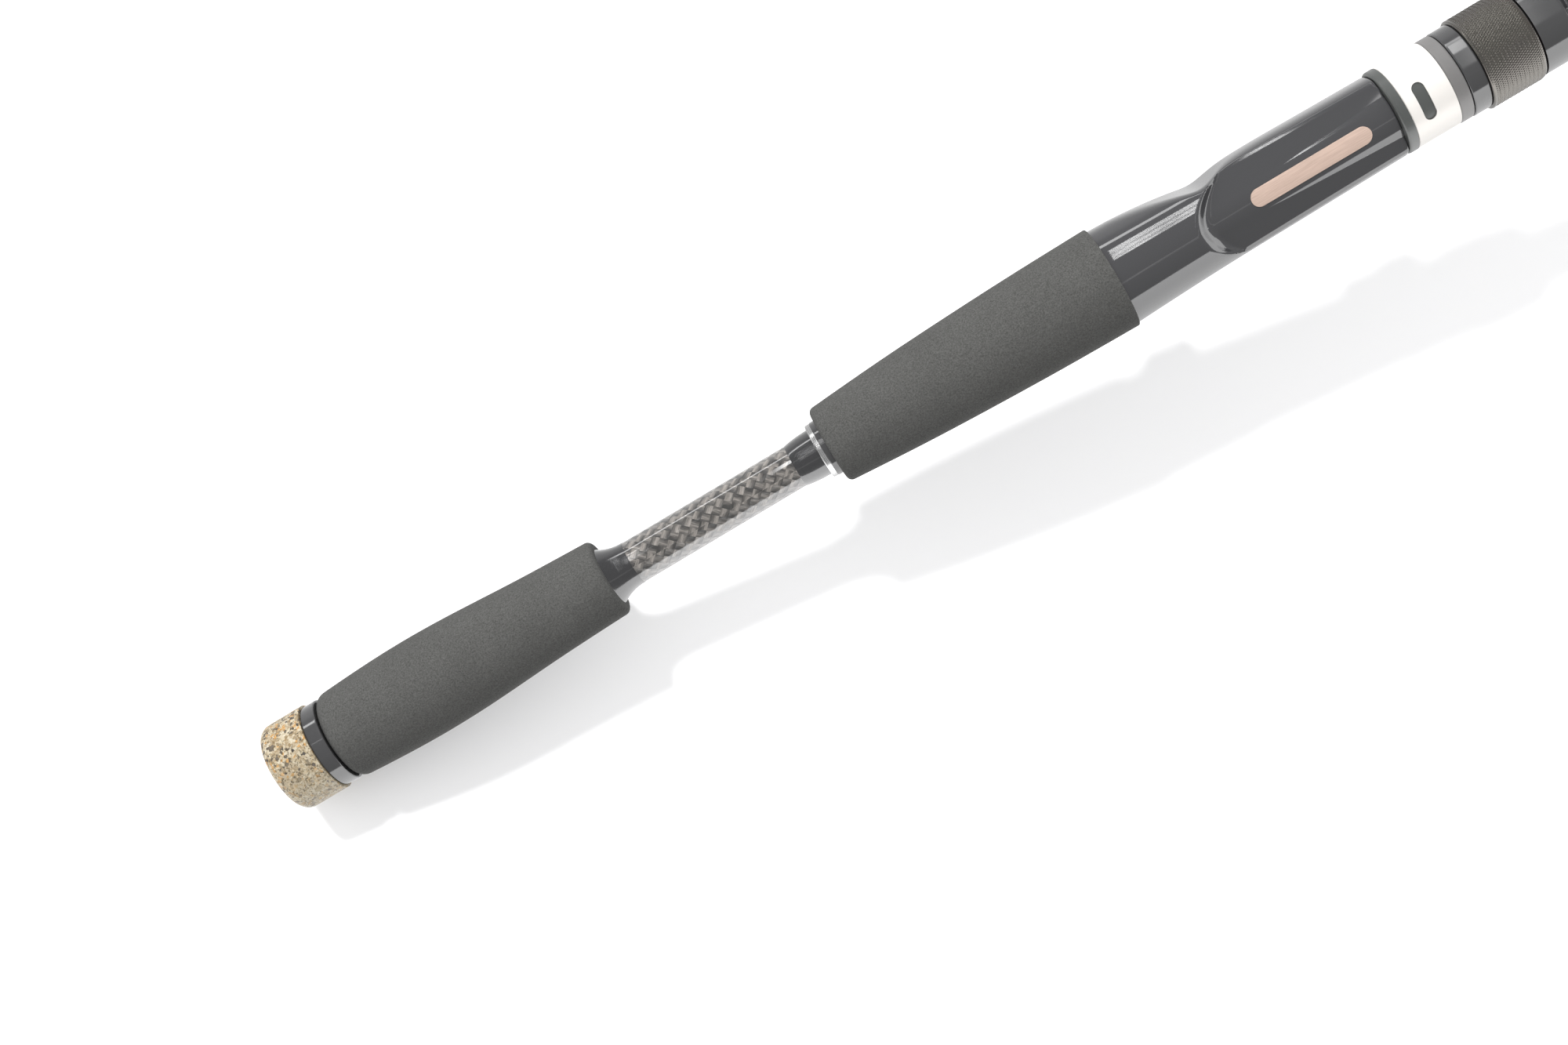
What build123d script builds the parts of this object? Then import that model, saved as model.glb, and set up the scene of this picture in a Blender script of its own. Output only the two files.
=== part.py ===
"""Two-piece spinning rod with a split grip and a screw-hooded reel seat.

Frame: the rod lies along +X with its butt face at the origin.  +Z is the back of the
rod, where the seat's label plate is, and the reel and the line guides hang on the -Z side.
All sizes are in millimetres.  "along" values are distances from the butt face.
"""
import os
from math import cos, radians, sin, sqrt

from build123d import *

# ---------------------------------------------------------------- driving dimensions
ROD_LENGTH = 2133.6          # butt face to the far side of the tip-top ring
SLIP = 0.05                  # radial running clearance of screwed and sliding fits
FERRULE_SLIP = 0.03          # radial clearance of the ferrule's taper
EASE = 0.2                   # clearance of keys, snap lips and hood tongue

# blank: a tapered tube in two sections
BUTT_BLANK_R = 6.2           # outside radius at the butt face
BUTT_BLANK_TAPER = 0.00158   # loss of radius per millimetre
BUTT_BLANK_WALL = 1.1
BLANK_INSET = 5.0            # how far the blank stops short of the butt face
FERRULE_START = 0.4898 * ROD_LENGTH   # where the tip section's socket begins
FERRULE_LENGTH = 70.0
FERRULE_STOP_GAP = 3.0       # room left ahead of the spigot's end
SOCKET_WALL = 0.75
SLEEVE_HOLD = 24.0           # how far the ferrule's sleeve runs on over the tip blank
TIP_BLANK_R = 0.9            # outside radius under the tip-top
TIP_BLANK_WALL = 0.8
TIP_CORE_R = 0.45
TIP_CORE_STOP = 70.0         # solid length of the blank's tip

# butt cap, trim ring and rear grip
CAP_LENGTH = 14.2
CAP_R = 13.25
CAP_ROUND = 3.4
TRIM_RING_LENGTH = 4.5
TRIM_RING_R = 12.6
REAR_GRIP_LENGTH = 90.6
REAR_GRIP_START_R = 13.0
REAR_GRIP_BELLY_R = 14.15
REAR_GRIP_NECK_R = 11.75
GRIP_ROUND = 1.7

# split between the grips
SLEEVE_SKIN = 0.32           # woven carbon sleeve on the blank
REAR_WRAP_LENGTH = 7.6
REAR_WRAP_RISE = 2.2         # height over the sleeve at the grip
REAR_WRAP_TOE = 0.25         # height over the sleeve at its thin end
SLEEVE_LENGTH = 52.8
FRONT_WRAP_LENGTH = 7.7
FRONT_WRAP_RISE = 0.8
FRONT_WRAP_TOE = 0.3
CHECK_LENGTH = 1.5
CHECK_RISE = 1.95
COLLAR_LENGTH = 1.6
COLLAR_RISE = 2.1

# middle grip
MID_GRIP_LENGTH = 90.6
MID_GRIP_START_R = 11.6
MID_GRIP_STEP = 0.75         # how far the grip stands over the seat's rear edge

# reel seat body; its radii follow the barrel, and the barrel follows the blank
BARREL_R = BUTT_BLANK_R + 3.8   # crest radius of the thread and of the exposed rib
SEAT_LENGTH = 85.4           # rear face to the moving hood's stop
SEAT_REAR_R = BARREL_R + 4.4
SEAT_MID_R = BARREL_R + 3.15
SEAT_FRONT_R = BARREL_R + 2.5
SEAT_BORE_R = BARREL_R - 2.5
SEAT_NOSE_ROUND = 0.9
THREAD_DEPTH = 0.55
THREAD_PITCH = 2.0
KEYWAY_WIDTH = 3.0
KEYWAY_DEPTH = 1.0
WAIST_ALONG = 0.3677 * SEAT_LENGTH   # waist notch, from the seat's rear face
WAIST_HALF_WIDTH = BARREL_R - 0.1
SHOULDER_HALF_WIDTH = BARREL_R + 2.25
SCOOP_ALONG = 0.2927 * SEAT_LENGTH   # rear rim of the scoop, from the seat's rear face
SCOOP_HALF_WIDTH = BARREL_R + 0.6
RIB_HALF_WIDTH_REAR = 2.8
RIB_HALF_WIDTH_FRONT = 6.2
SCOOP_CORNER_WAIST = SCOOP_HALF_WIDTH + 1.4
SCOOP_CORNER_PLAIN = 5.5
PLATE_LENGTH = 0.4297 * SEAT_LENGTH
PLATE_WIDTH = 5.2
PLATE_ALONG = 0.4824 * SEAT_LENGTH   # plate's rear end, from the seat's rear face
PLATE_THICK = 0.6
PLATE_PROUD = 0.2

# reel foot platform, fixed hood and pockets (on the -Z side)
PLATFORM_DEPTH = BARREL_R + 0.2      # from the rod's axis down to the flat
POCKET_HALF_WIDTH = 6.0
POCKET_HEIGHT = 4.7
POCKET_DEPTH = 13.0
LINER_WALL = 1.0
HOOD_WALL = 1.1
FIXED_HOOD_MOUTH = 25.0      # from the seat's rear face
FIXED_HOOD_LENGTH = 21.0

# moving hood and lock nut
HOOD_TRAVEL = 22.0
HOOD_GAP = 0.1
HOOD_LIP_LENGTH = 2.8
HOOD_LIP_R = BARREL_R + 2.6
HOOD_SHELL_LENGTH = 13.0
HOOD_SHELL_R = BARREL_R + 2.5
HOOD_SHELL_WALL = 1.1
HOOD_TONGUE = 10.5           # how far the tongue reaches back under the seat
HOOD_POCKET_STOP = 6.4       # solid liner left ahead of the pocket
WINDOW_ALONG = 5.1           # window's middle, from the shell's rear edge
WINDOW_WIDTH = 11.0
WINDOW_HEIGHT = 3.5
BADGE_SUNK = 0.4
HOOD_RING_LENGTH = 4.0
HOOD_RING_R = BARREL_R + 2.6
SNAP_TAIL = 3.0
SNAP_LIP = 1.0
SNAP_R = BARREL_R + 1.15
NUT_COLLAR_LENGTH = 5.4
NUT_COLLAR_R = BARREL_R + 2.75
NUT_LENGTH = 16.7
NUT_R = BARREL_R + 3.57
NUT_ROUND = 1.9
NUT_RING_LENGTH = 9.5
NUT_RING_R = BARREL_R + 3.0

# fore grip
STOP_RING_LENGTH = 2.5
STOP_RING_R = BARREL_R + 2.2
FORE_GRIP_LENGTH = 40.0
FORE_GRIP_START_R = BARREL_R + 1.9
FORE_GRIP_END_R = BUTT_BLANK_R + 2.4
FORE_CHECK_LENGTH = 2.2
FORE_CHECK_R = BUTT_BLANK_R + 1.4
FORE_WRAP_LENGTH = 16.0

# thread wraps and line guides
WRAP_SKIN = 0.45
FERRULE_WRAP_LENGTH = 24.0
RING_WIDTH = 2.6             # axial width of a guide's ceramic ring, size 25
# number: (share of the rod's length, ring size, drop from rod axis to ring centre, wire radius, two feet)
GUIDES = {
    1: (0.4406, 25.0, 27.0, 1.0, True),
    2: (0.5915, 16.0, 18.5, 0.85, True),
    3: (0.6946, 10.0, 12.0, 0.7, True),
    4: (0.7790, 8.0, 9.0, 0.6, False),
    5: (0.8465, 7.0, 7.6, 0.55, False),
    6: (0.9036, 6.0, 6.4, 0.5, False),
    7: (0.9543, 6.0, 6.0, 0.5, False),
}
FOOT_THICK = 0.8
TIP_TUBE_LENGTH = 13.0
TIP_TUBE_WALL = 0.35
TIP_RING_SIZE = 6.0
TIP_RING_DROP = 4.6
TIP_WIRE_R = 0.5
TIP_RING_LEAN = 4.4          # how far the tip-top ring reaches past the blank's end
TIP_CAP = 1.2                # closed end of the tip-top's tube

# ---------------------------------------------------------------- stations along the rod
CAP_END = CAP_LENGTH
REAR_GRIP_START = CAP_END + TRIM_RING_LENGTH
REAR_GRIP_END = REAR_GRIP_START + REAR_GRIP_LENGTH
SLEEVE_START = REAR_GRIP_END + REAR_WRAP_LENGTH
SLEEVE_END = SLEEVE_START + SLEEVE_LENGTH
CHECK_START = SLEEVE_END + FRONT_WRAP_LENGTH
COLLAR_START = CHECK_START + CHECK_LENGTH
MID_GRIP_START = COLLAR_START + COLLAR_LENGTH
SEAT_START = MID_GRIP_START + MID_GRIP_LENGTH
SEAT_STOP = SEAT_START + SEAT_LENGTH
HOOD_START = SEAT_STOP + HOOD_GAP
SHELL_START = HOOD_START + HOOD_LIP_LENGTH
SHELL_END = SHELL_START + HOOD_SHELL_LENGTH
HOOD_RING_END = SHELL_END + HOOD_RING_LENGTH
NUT_START = HOOD_RING_END + NUT_COLLAR_LENGTH
NUT_END = NUT_START + NUT_LENGTH
NUT_RING_END = NUT_END + NUT_RING_LENGTH
BARREL_END = NUT_RING_END + HOOD_TRAVEL + 4.0
FORE_GRIP_START = BARREL_END + STOP_RING_LENGTH
FORE_GRIP_END = FORE_GRIP_START + FORE_GRIP_LENGTH
FORE_CHECK_END = FORE_GRIP_END + FORE_CHECK_LENGTH
FERRULE_END = FERRULE_START + FERRULE_LENGTH
SOCKET_END = FERRULE_END + FERRULE_STOP_GAP
FERRULE_SLEEVE_END = SOCKET_END + SLEEVE_HOLD
MID_GRIP_END_R = SEAT_REAR_R + MID_GRIP_STEP
TIP_TUBE_END = ROD_LENGTH - TIP_RING_LEAN
TIP_TUBE_START = TIP_TUBE_END - TIP_TUBE_LENGTH


# ---------------------------------------------------------------- helpers
def butt_blank_r(along):
    """Outside radius of the butt section."""
    return BUTT_BLANK_R - BUTT_BLANK_TAPER * along


def tip_blank_r(along):
    """Outside radius of the tip section."""
    start = butt_blank_r(FERRULE_START)
    share = (along - FERRULE_START) / (TIP_TUBE_END - FERRULE_START)
    return start + share * (TIP_BLANK_R - start)


def ferrule_sleeve_r(along):
    """Outside radius of the sleeve that makes the tip section's socket."""
    return butt_blank_r(along) + FERRULE_SLIP + SOCKET_WALL


def turned(*corners):
    """Solid of revolution about the rod's axis from (along, radius) corners."""
    outline = Polyline([(along, 0, r) for along, r in corners], close=True)
    return revolve(make_face(outline), Axis.X, 360)


def turned_curve(outer_points, inner_corners):
    """Solid of revolution whose outside is one smooth curve through outer_points."""
    curve = Spline([(along, 0, r) for along, r in outer_points])
    rest = Polyline([(along, 0, r) for along, r in [outer_points[-1], *inner_corners, outer_points[0]]])
    return revolve(make_face(curve + rest), Axis.X, 360)


def on_blank(start, end, r_start, r_end, skin=0.0, blank_r=butt_blank_r):
    """Tapered ring from the blank's surface, raised by skin, out to r_start and r_end."""
    return turned(
        (start, blank_r(start) + skin),
        (start, r_start),
        (end, r_end),
        (end, blank_r(end) + skin),
    )


def round_rims(solid, radius, *rims):
    """Fillet the round edges at the given (along, radius) places."""
    picked = [
        edge
        for edge in solid.edges().filter_by(GeomType.CIRCLE)
        if any(abs(edge.arc_center.X - x) < 0.02 and abs(edge.radius - r) < 0.02 for x, r in rims)
    ]
    return fillet(picked, radius)


def block(x_span, y_span, z_span):
    """Box from low and high values along each axis."""
    size = [high - low for low, high in (x_span, y_span, z_span)]
    middle = [(high + low) / 2 for low, high in (x_span, y_span, z_span)]
    return Pos(*middle) * Box(*size)


def wire(start, end, r):
    """Round wire between two points, with ball ends so that joined wires close."""
    run = Vector(*end) - Vector(*start)
    rod = Plane(origin=start, z_dir=run) * Cylinder(r, run.length, align=(Align.CENTER, Align.CENTER, Align.MIN))
    return rod + Pos(*start) * Sphere(r) + Pos(*end) * Sphere(r)


def save(node, shape):
    """Write one named piece."""
    export_step(shape, f"parts/{node}.step")


# ---------------------------------------------------------------- handle
def butt_cap():
    cap = turned(
        (0, 0),
        (0, CAP_R),
        (CAP_LENGTH, CAP_R),
        (CAP_LENGTH, butt_blank_r(CAP_LENGTH)),
        (BLANK_INSET, butt_blank_r(BLANK_INSET)),
        (BLANK_INSET, 0),
    )
    return round_rims(cap, CAP_ROUND, (0, CAP_R))


def butt_trim_ring():
    ring = on_blank(CAP_END, REAR_GRIP_START, TRIM_RING_R, TRIM_RING_R)
    return round_rims(ring, 0.4, (CAP_END, TRIM_RING_R), (REAR_GRIP_START, TRIM_RING_R))


def rear_grip():
    belly = REAR_GRIP_START + 0.25 * REAR_GRIP_LENGTH
    outer = [
        (REAR_GRIP_START, REAR_GRIP_START_R),
        (belly, REAR_GRIP_BELLY_R),
        (REAR_GRIP_START + 0.45 * REAR_GRIP_LENGTH, REAR_GRIP_BELLY_R - 0.15),
        (REAR_GRIP_START + 0.7 * REAR_GRIP_LENGTH, REAR_GRIP_NECK_R + 0.95),
        (REAR_GRIP_END, REAR_GRIP_NECK_R - 0.2),
    ]
    bore = [(REAR_GRIP_END, butt_blank_r(REAR_GRIP_END)), (REAR_GRIP_START, butt_blank_r(REAR_GRIP_START))]
    grip = turned_curve(outer, bore)
    grip = round_rims(grip, 2 * GRIP_ROUND, (REAR_GRIP_START, REAR_GRIP_START_R))
    return round_rims(grip, GRIP_ROUND, (REAR_GRIP_END, REAR_GRIP_NECK_R - 0.2))


def carbon_sleeve():
    start_r = butt_blank_r(REAR_GRIP_END) + SLEEVE_SKIN
    end_r = butt_blank_r(CHECK_START) + SLEEVE_SKIN
    return on_blank(REAR_GRIP_END, CHECK_START, start_r, end_r)


def split_wrap_rear():
    grip_side = butt_blank_r(REAR_GRIP_END) + SLEEVE_SKIN + REAR_WRAP_RISE
    toe = butt_blank_r(SLEEVE_START) + SLEEVE_SKIN + REAR_WRAP_TOE
    return on_blank(REAR_GRIP_END, SLEEVE_START, grip_side, toe, SLEEVE_SKIN)


def split_wrap_front():
    toe = butt_blank_r(SLEEVE_END) + SLEEVE_SKIN + FRONT_WRAP_TOE
    check_side = butt_blank_r(CHECK_START) + SLEEVE_SKIN + FRONT_WRAP_RISE
    return on_blank(SLEEVE_END, CHECK_START, toe, check_side, SLEEVE_SKIN)


def grip_check():
    r = butt_blank_r(CHECK_START) + SLEEVE_SKIN + CHECK_RISE
    ring = on_blank(CHECK_START, COLLAR_START, r, r)
    return round_rims(ring, 0.4, (CHECK_START, r))


def grip_collar():
    r = butt_blank_r(COLLAR_START) + SLEEVE_SKIN + COLLAR_RISE
    ring = on_blank(COLLAR_START, MID_GRIP_START, r, r)
    return round_rims(ring, 0.3, (COLLAR_START, r))


def mid_grip():
    swell = MID_GRIP_END_R - MID_GRIP_START_R
    outer = [
        (MID_GRIP_START, MID_GRIP_START_R - 0.15),
        (MID_GRIP_START + 0.25 * MID_GRIP_LENGTH, MID_GRIP_START_R + 0.4 * swell),
        (MID_GRIP_START + 0.5 * MID_GRIP_LENGTH, MID_GRIP_START_R + 0.7 * swell),
        (MID_GRIP_START + 0.75 * MID_GRIP_LENGTH, MID_GRIP_START_R + 0.9 * swell),
        (SEAT_START, MID_GRIP_END_R),
    ]
    bore = [(SEAT_START, butt_blank_r(SEAT_START)), (MID_GRIP_START, butt_blank_r(MID_GRIP_START))]
    grip = turned_curve(outer, bore)
    return round_rims(grip, GRIP_ROUND, (MID_GRIP_START, MID_GRIP_START_R - 0.15))


# ---------------------------------------------------------------- blank
def blank_butt():
    """Tapered tube of even wall, whose front end is the ferrule's spigot."""
    return turned(
        (BLANK_INSET, butt_blank_r(BLANK_INSET) - BUTT_BLANK_WALL),
        (BLANK_INSET, butt_blank_r(BLANK_INSET)),
        (FERRULE_END, butt_blank_r(FERRULE_END)),
        (FERRULE_END, butt_blank_r(FERRULE_END) - BUTT_BLANK_WALL),
    )


def ferrule_sleeve():
    """Sleeve glued over the tip blank's rear end: the socket that slides on the spigot."""
    run_out = FERRULE_SLEEVE_END - 4.0
    return turned(
        (FERRULE_START, butt_blank_r(FERRULE_START) + FERRULE_SLIP),
        (FERRULE_START, ferrule_sleeve_r(FERRULE_START)),
        (run_out, ferrule_sleeve_r(run_out)),
        (FERRULE_SLEEVE_END, tip_blank_r(FERRULE_SLEEVE_END) + 0.15),
        (FERRULE_SLEEVE_END, tip_blank_r(FERRULE_SLEEVE_END)),
        (SOCKET_END, tip_blank_r(SOCKET_END)),
        (SOCKET_END, butt_blank_r(SOCKET_END) + FERRULE_SLIP),
    )


def blank_tip():
    core_end = TIP_TUBE_END - TIP_CORE_STOP
    return turned(
        (SOCKET_END, tip_blank_r(SOCKET_END) - TIP_BLANK_WALL),
        (SOCKET_END, tip_blank_r(SOCKET_END)),
        (TIP_TUBE_END, tip_blank_r(TIP_TUBE_END)),
        (TIP_TUBE_END, 0),
        (core_end, 0),
        (core_end, TIP_CORE_R),
    )


# ---------------------------------------------------------------- reel seat
def threaded_barrel():
    """Barrel ahead of the stop: even ridges of the thread's pitch and depth."""
    root = BARREL_R - THREAD_DEPTH
    start = SEAT_STOP - 1.0
    corners = [(start, SEAT_BORE_R), (start, root)]
    ridges = int((BARREL_END - SEAT_STOP - 4.0) / THREAD_PITCH)
    for ridge in range(ridges):
        at = SEAT_STOP + 2.0 + ridge * THREAD_PITCH
        corners.append((at, root))
        corners.append((at + 0.25 * THREAD_PITCH, BARREL_R))
        corners.append((at + 0.5 * THREAD_PITCH, BARREL_R))
        corners.append((at + 0.75 * THREAD_PITCH, root))
    corners.append((BARREL_END, root))
    corners.append((BARREL_END, SEAT_BORE_R))
    return turned(*corners)


def seat_skin():
    """The seat's turned outside, before anything is cut from it."""
    outer = [
        (SEAT_START, SEAT_REAR_R),
        (SEAT_START + 0.36 * SEAT_LENGTH, SEAT_MID_R + 0.15),
        (SEAT_START + 0.55 * SEAT_LENGTH, SEAT_MID_R - 0.1),
        (SEAT_STOP, SEAT_FRONT_R),
    ]
    bore = [(SEAT_STOP, SEAT_BORE_R), (SEAT_START, SEAT_BORE_R)]
    skin = turned_curve(outer, bore)
    return round_rims(skin, SEAT_NOSE_ROUND, (SEAT_STOP, SEAT_FRONT_R))


def waist_cutter():
    """Everything outside the waisted flank on the +Y side."""
    waist = SEAT_START + WAIST_ALONG
    flank = [
        (SEAT_START + 6.0, SEAT_REAR_R + 0.2),
        (waist - 12.5, WAIST_HALF_WIDTH + 2.5),
        (waist - 4.5, WAIST_HALF_WIDTH + 0.75),
        (waist, WAIST_HALF_WIDTH),
        (waist + 4.1, WAIST_HALF_WIDTH + 0.7),
        (waist + 8.5, WAIST_HALF_WIDTH + 1.8),
        (waist + 14.0, SHOULDER_HALF_WIDTH + 0.05),
        (waist + 30.0, SHOULDER_HALF_WIDTH),
        (SEAT_STOP + 0.5, SHOULDER_HALF_WIDTH - 0.45),
    ]
    far = SEAT_REAR_R + 10.0
    edge = Spline(flank)
    frame = Polyline([flank[-1], (flank[-1][0], far), (flank[0][0], far), flank[0]])
    plan = make_face(edge + frame)
    return Pos(0, 0, -far) * extrude(plan, 2 * far)


def scoop_section(along, rib_half_width):
    """Open space over the scoop's floor, as a closed outline across the rod."""
    rim_height = sqrt(SEAT_FRONT_R**2 - SCOOP_HALF_WIDTH**2)
    rib_height = sqrt(BARREL_R**2 - rib_half_width**2)
    top = SEAT_REAR_R + 6.0
    reach = SCOOP_HALF_WIDTH + 4.0
    slope = (rib_height - rim_height) / (SCOOP_HALF_WIDTH - rib_half_width)
    outer_height = rim_height - slope * 4.0
    crown = ThreePointArc((along, -rib_half_width, rib_height), (along, 0, BARREL_R), (along, rib_half_width, rib_height))
    edges = Polyline(
        [
            (along, rib_half_width, rib_height),
            (along, reach, outer_height),
            (along, reach, top),
            (along, -reach, top),
            (along, -reach, outer_height),
            (along, -rib_half_width, rib_height),
        ]
    )
    return make_face(crown + edges)


def scoop_cutter():
    """Open trough over the rib, closed at its rear end by a sloping U."""
    rear = SEAT_START + SCOOP_ALONG
    front = SEAT_STOP + 1.0
    trough = loft(
        [scoop_section(rear - 2.0, RIB_HALF_WIDTH_REAR), scoop_section(front, RIB_HALF_WIDTH_FRONT)],
        ruled=True,
    )
    base = sqrt(SEAT_FRONT_R**2 - SCOOP_HALF_WIDTH**2) - 3.0
    lean = SEAT_MID_R - base
    heel = rear + lean
    half = SCOOP_HALF_WIDTH - 0.2
    corner_rows = [(heel, half, SCOOP_CORNER_WAIST), (heel, -half, SCOOP_CORNER_PLAIN)]
    plan = make_face(Polyline([(heel, half), (front, half), (front, -half), (heel, -half)], close=True))
    for x, y, radius in corner_rows:
        corner = plan.vertices().sort_by_distance((x, y, 0))[0]
        plan = fillet(corner, radius)
    mouth = extrude(Pos(0, 0, base) * plan, 12.0, taper=-45)
    return trough & mouth


def plate_prism(shrink=0.0):
    """Stadium-shaped column over the label plate's place."""
    middle = SEAT_START + PLATE_ALONG + PLATE_LENGTH / 2
    plan = SlotOverall(PLATE_LENGTH - 2 * shrink, PLATE_WIDTH - 2 * shrink)
    return Pos(middle, 0, 0) * extrude(plan, SEAT_REAR_R + 5.0)


def plate_place(shrink=0.0, proud=0.0):
    start = SEAT_START + PLATE_ALONG - 2.0
    end = start + PLATE_LENGTH + 4.0
    shell = turned(
        (start, BARREL_R - PLATE_THICK),
        (start, BARREL_R + proud),
        (end, BARREL_R + proud),
        (end, BARREL_R - PLATE_THICK),
    )
    return plate_prism(shrink) & shell


def seat_label_plate():
    return plate_place(shrink=0.05, proud=PLATE_PROUD)


def pocket_shape(start, end, wall):
    """Room under the platform for a reel foot's end, grown by wall."""
    half = POCKET_HALF_WIDTH + wall
    floor = -PLATFORM_DEPTH - POCKET_HEIGHT - wall
    room = block((start, end), (-half, half), (floor, -PLATFORM_DEPTH))
    long_edges = room.edges().filter_by(Axis.X).group_by(Axis.Z)[0]
    return fillet(long_edges, 2.0 + wall)


def fixed_hood_hump():
    """Swelling of the seat's belly that holds the fixed hood."""
    mouth = SEAT_START + FIXED_HOOD_MOUTH
    rear = mouth - FIXED_HOOD_LENGTH
    wall = LINER_WALL + HOOD_WALL
    hump = pocket_shape(rear, mouth, wall)
    depth = PLATFORM_DEPTH + POCKET_HEIGHT + wall
    low = -depth - 1.0
    nose = make_face(Polyline([(rear - 1, 0, low), (rear + 6, 0, low), (rear - 1, 0, low + 6.5)], close=True))
    ramp = Pos(0, 20, 0) * extrude(nose, 40, dir=(0, -1, 0))
    return hump - ramp


def seat_body():
    mouth = SEAT_START + FIXED_HOOD_MOUTH
    body = seat_skin() + fixed_hood_hump()
    body -= waist_cutter()
    body -= scoop_cutter()
    body += threaded_barrel()
    body -= block((mouth, SEAT_STOP + 1), (-15, 15), (-SEAT_REAR_R - 5, -PLATFORM_DEPTH))
    body -= pocket_shape(mouth - POCKET_DEPTH - LINER_WALL, mouth + 1, LINER_WALL)
    body -= plate_place()
    keyway_floor = BARREL_R - KEYWAY_DEPTH
    body -= block(
        (SEAT_STOP, BARREL_END - 2),
        (-KEYWAY_WIDTH / 2, KEYWAY_WIDTH / 2),
        (keyway_floor, BARREL_R + 5),
    )
    bore = Pos(SEAT_START + 80, 0, 0) * Rot(0, 90, 0) * Cylinder(SEAT_BORE_R, 400)
    return body - bore


def fixed_hood_liner():
    mouth = SEAT_START + FIXED_HOOD_MOUTH
    liner = pocket_shape(mouth - POCKET_DEPTH - LINER_WALL, mouth, LINER_WALL)
    liner -= pocket_shape(mouth - POCKET_DEPTH, mouth + 1, 0)
    return liner


def seat_arbor(start, end):
    return turned(
        (start, butt_blank_r(start)),
        (start, SEAT_BORE_R),
        (end, SEAT_BORE_R),
        (end, butt_blank_r(end)),
    )


# ---------------------------------------------------------------- moving hood
def bored_ring(start, end, r_in, r_out):
    return turned((start, r_in), (start, r_out), (end, r_out), (end, r_in))


def tongue_shape(start, end, wall):
    """The moving hood's pocket, grown by wall and kept clear of the platform."""
    shape = pocket_shape(start, end, wall)
    return shape - block((start - 1, end + 1), (-20, 20), (-PLATFORM_DEPTH - EASE, 0))


def window_prism(shrink=0.0):
    plan = Rot(0, 0, 90) * SlotOverall(WINDOW_WIDTH - 2 * shrink, WINDOW_HEIGHT - 2 * shrink)
    return Pos(SHELL_START + WINDOW_ALONG, 0, 0) * extrude(plan, HOOD_SHELL_R + 5)


def hood_liner():
    bore_r = BARREL_R + SLIP
    sleeve_r = HOOD_SHELL_R - HOOD_SHELL_WALL
    mouth = HOOD_START - HOOD_TONGUE
    lip = bored_ring(HOOD_START, SHELL_START, bore_r, HOOD_LIP_R)
    lip = round_rims(lip, 0.8, (HOOD_START, HOOD_LIP_R))
    liner = lip + bored_ring(SHELL_START, SHELL_END, bore_r, sleeve_r)
    bulge = pocket_shape(HOOD_START, SHELL_END, LINER_WALL)
    tongue = tongue_shape(mouth, HOOD_START, LINER_WALL)
    bore = Pos(SEAT_STOP, 0, 0) * Rot(0, 90, 0) * Cylinder(bore_r, 200)
    liner += bulge - bore
    liner += tongue
    stop = SHELL_END - HOOD_POCKET_STOP
    slot_half = 0.65 * POCKET_HALF_WIDTH
    liner -= pocket_shape(mouth - 1, stop, 0)
    liner -= block((mouth - 1, stop), (-slot_half, slot_half), (-PLATFORM_DEPTH - 1, -BARREL_R + 2))
    key_half = KEYWAY_WIDTH / 2 - EASE
    key = block(
        (HOOD_START, SHELL_END),
        (-key_half, key_half),
        (BARREL_R - KEYWAY_DEPTH + EASE, bore_r + 0.5),
    )
    return liner + key


def hood_shell():
    inner = HOOD_SHELL_R - HOOD_SHELL_WALL
    shell = bored_ring(SHELL_START, SHELL_END, inner, HOOD_SHELL_R)
    shell = round_rims(shell, 0.5, (SHELL_START, HOOD_SHELL_R))
    sleeve = Pos(SHELL_START, 0, 0) * Rot(0, 90, 0) * Cylinder(inner, 100)
    bulge = pocket_shape(SHELL_START, SHELL_END, LINER_WALL + HOOD_SHELL_WALL)
    shell += bulge - sleeve
    shell -= pocket_shape(SHELL_START - 1, SHELL_END + 1, LINER_WALL) - sleeve
    return shell - window_prism()


def hood_badge():
    inner = HOOD_SHELL_R - HOOD_SHELL_WALL
    band = bored_ring(SHELL_START, SHELL_END, inner, HOOD_SHELL_R - BADGE_SUNK)
    return band & window_prism(0.05)


def hood_trim_ring():
    """Ring that closes the hood and snaps into the nut's collar."""
    bore_r = BARREL_R + SLIP
    ring = bored_ring(SHELL_END, HOOD_RING_END, bore_r, HOOD_RING_R)
    ring = round_rims(ring, 0.5, (SHELL_END, HOOD_RING_R), (HOOD_RING_END, HOOD_RING_R))
    tail_end = HOOD_RING_END + SNAP_TAIL
    tail = turned(
        (HOOD_RING_END, bore_r),
        (HOOD_RING_END, SNAP_R - 0.45),
        (tail_end - SNAP_LIP, SNAP_R - 0.45),
        (tail_end - SNAP_LIP, SNAP_R),
        (tail_end, SNAP_R),
        (tail_end, bore_r),
    )
    return ring + tail


# ---------------------------------------------------------------- lock nut
def nut_collar():
    bore_r = BARREL_R + SLIP
    start = HOOD_RING_END + HOOD_GAP
    groove = HOOD_RING_END + SNAP_TAIL - SNAP_LIP - EASE
    groove_end = HOOD_RING_END + SNAP_TAIL + EASE
    collar = turned(
        (start, SNAP_R - 0.45 + EASE),
        (start, NUT_COLLAR_R),
        (NUT_START, NUT_COLLAR_R),
        (NUT_START, bore_r),
        (groove_end, bore_r),
        (groove_end, SNAP_R + EASE),
        (groove, SNAP_R + EASE),
        (groove, SNAP_R - 0.45 + EASE),
    )
    return round_rims(collar, 0.5, (start, NUT_COLLAR_R), (NUT_START, NUT_COLLAR_R))


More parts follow.
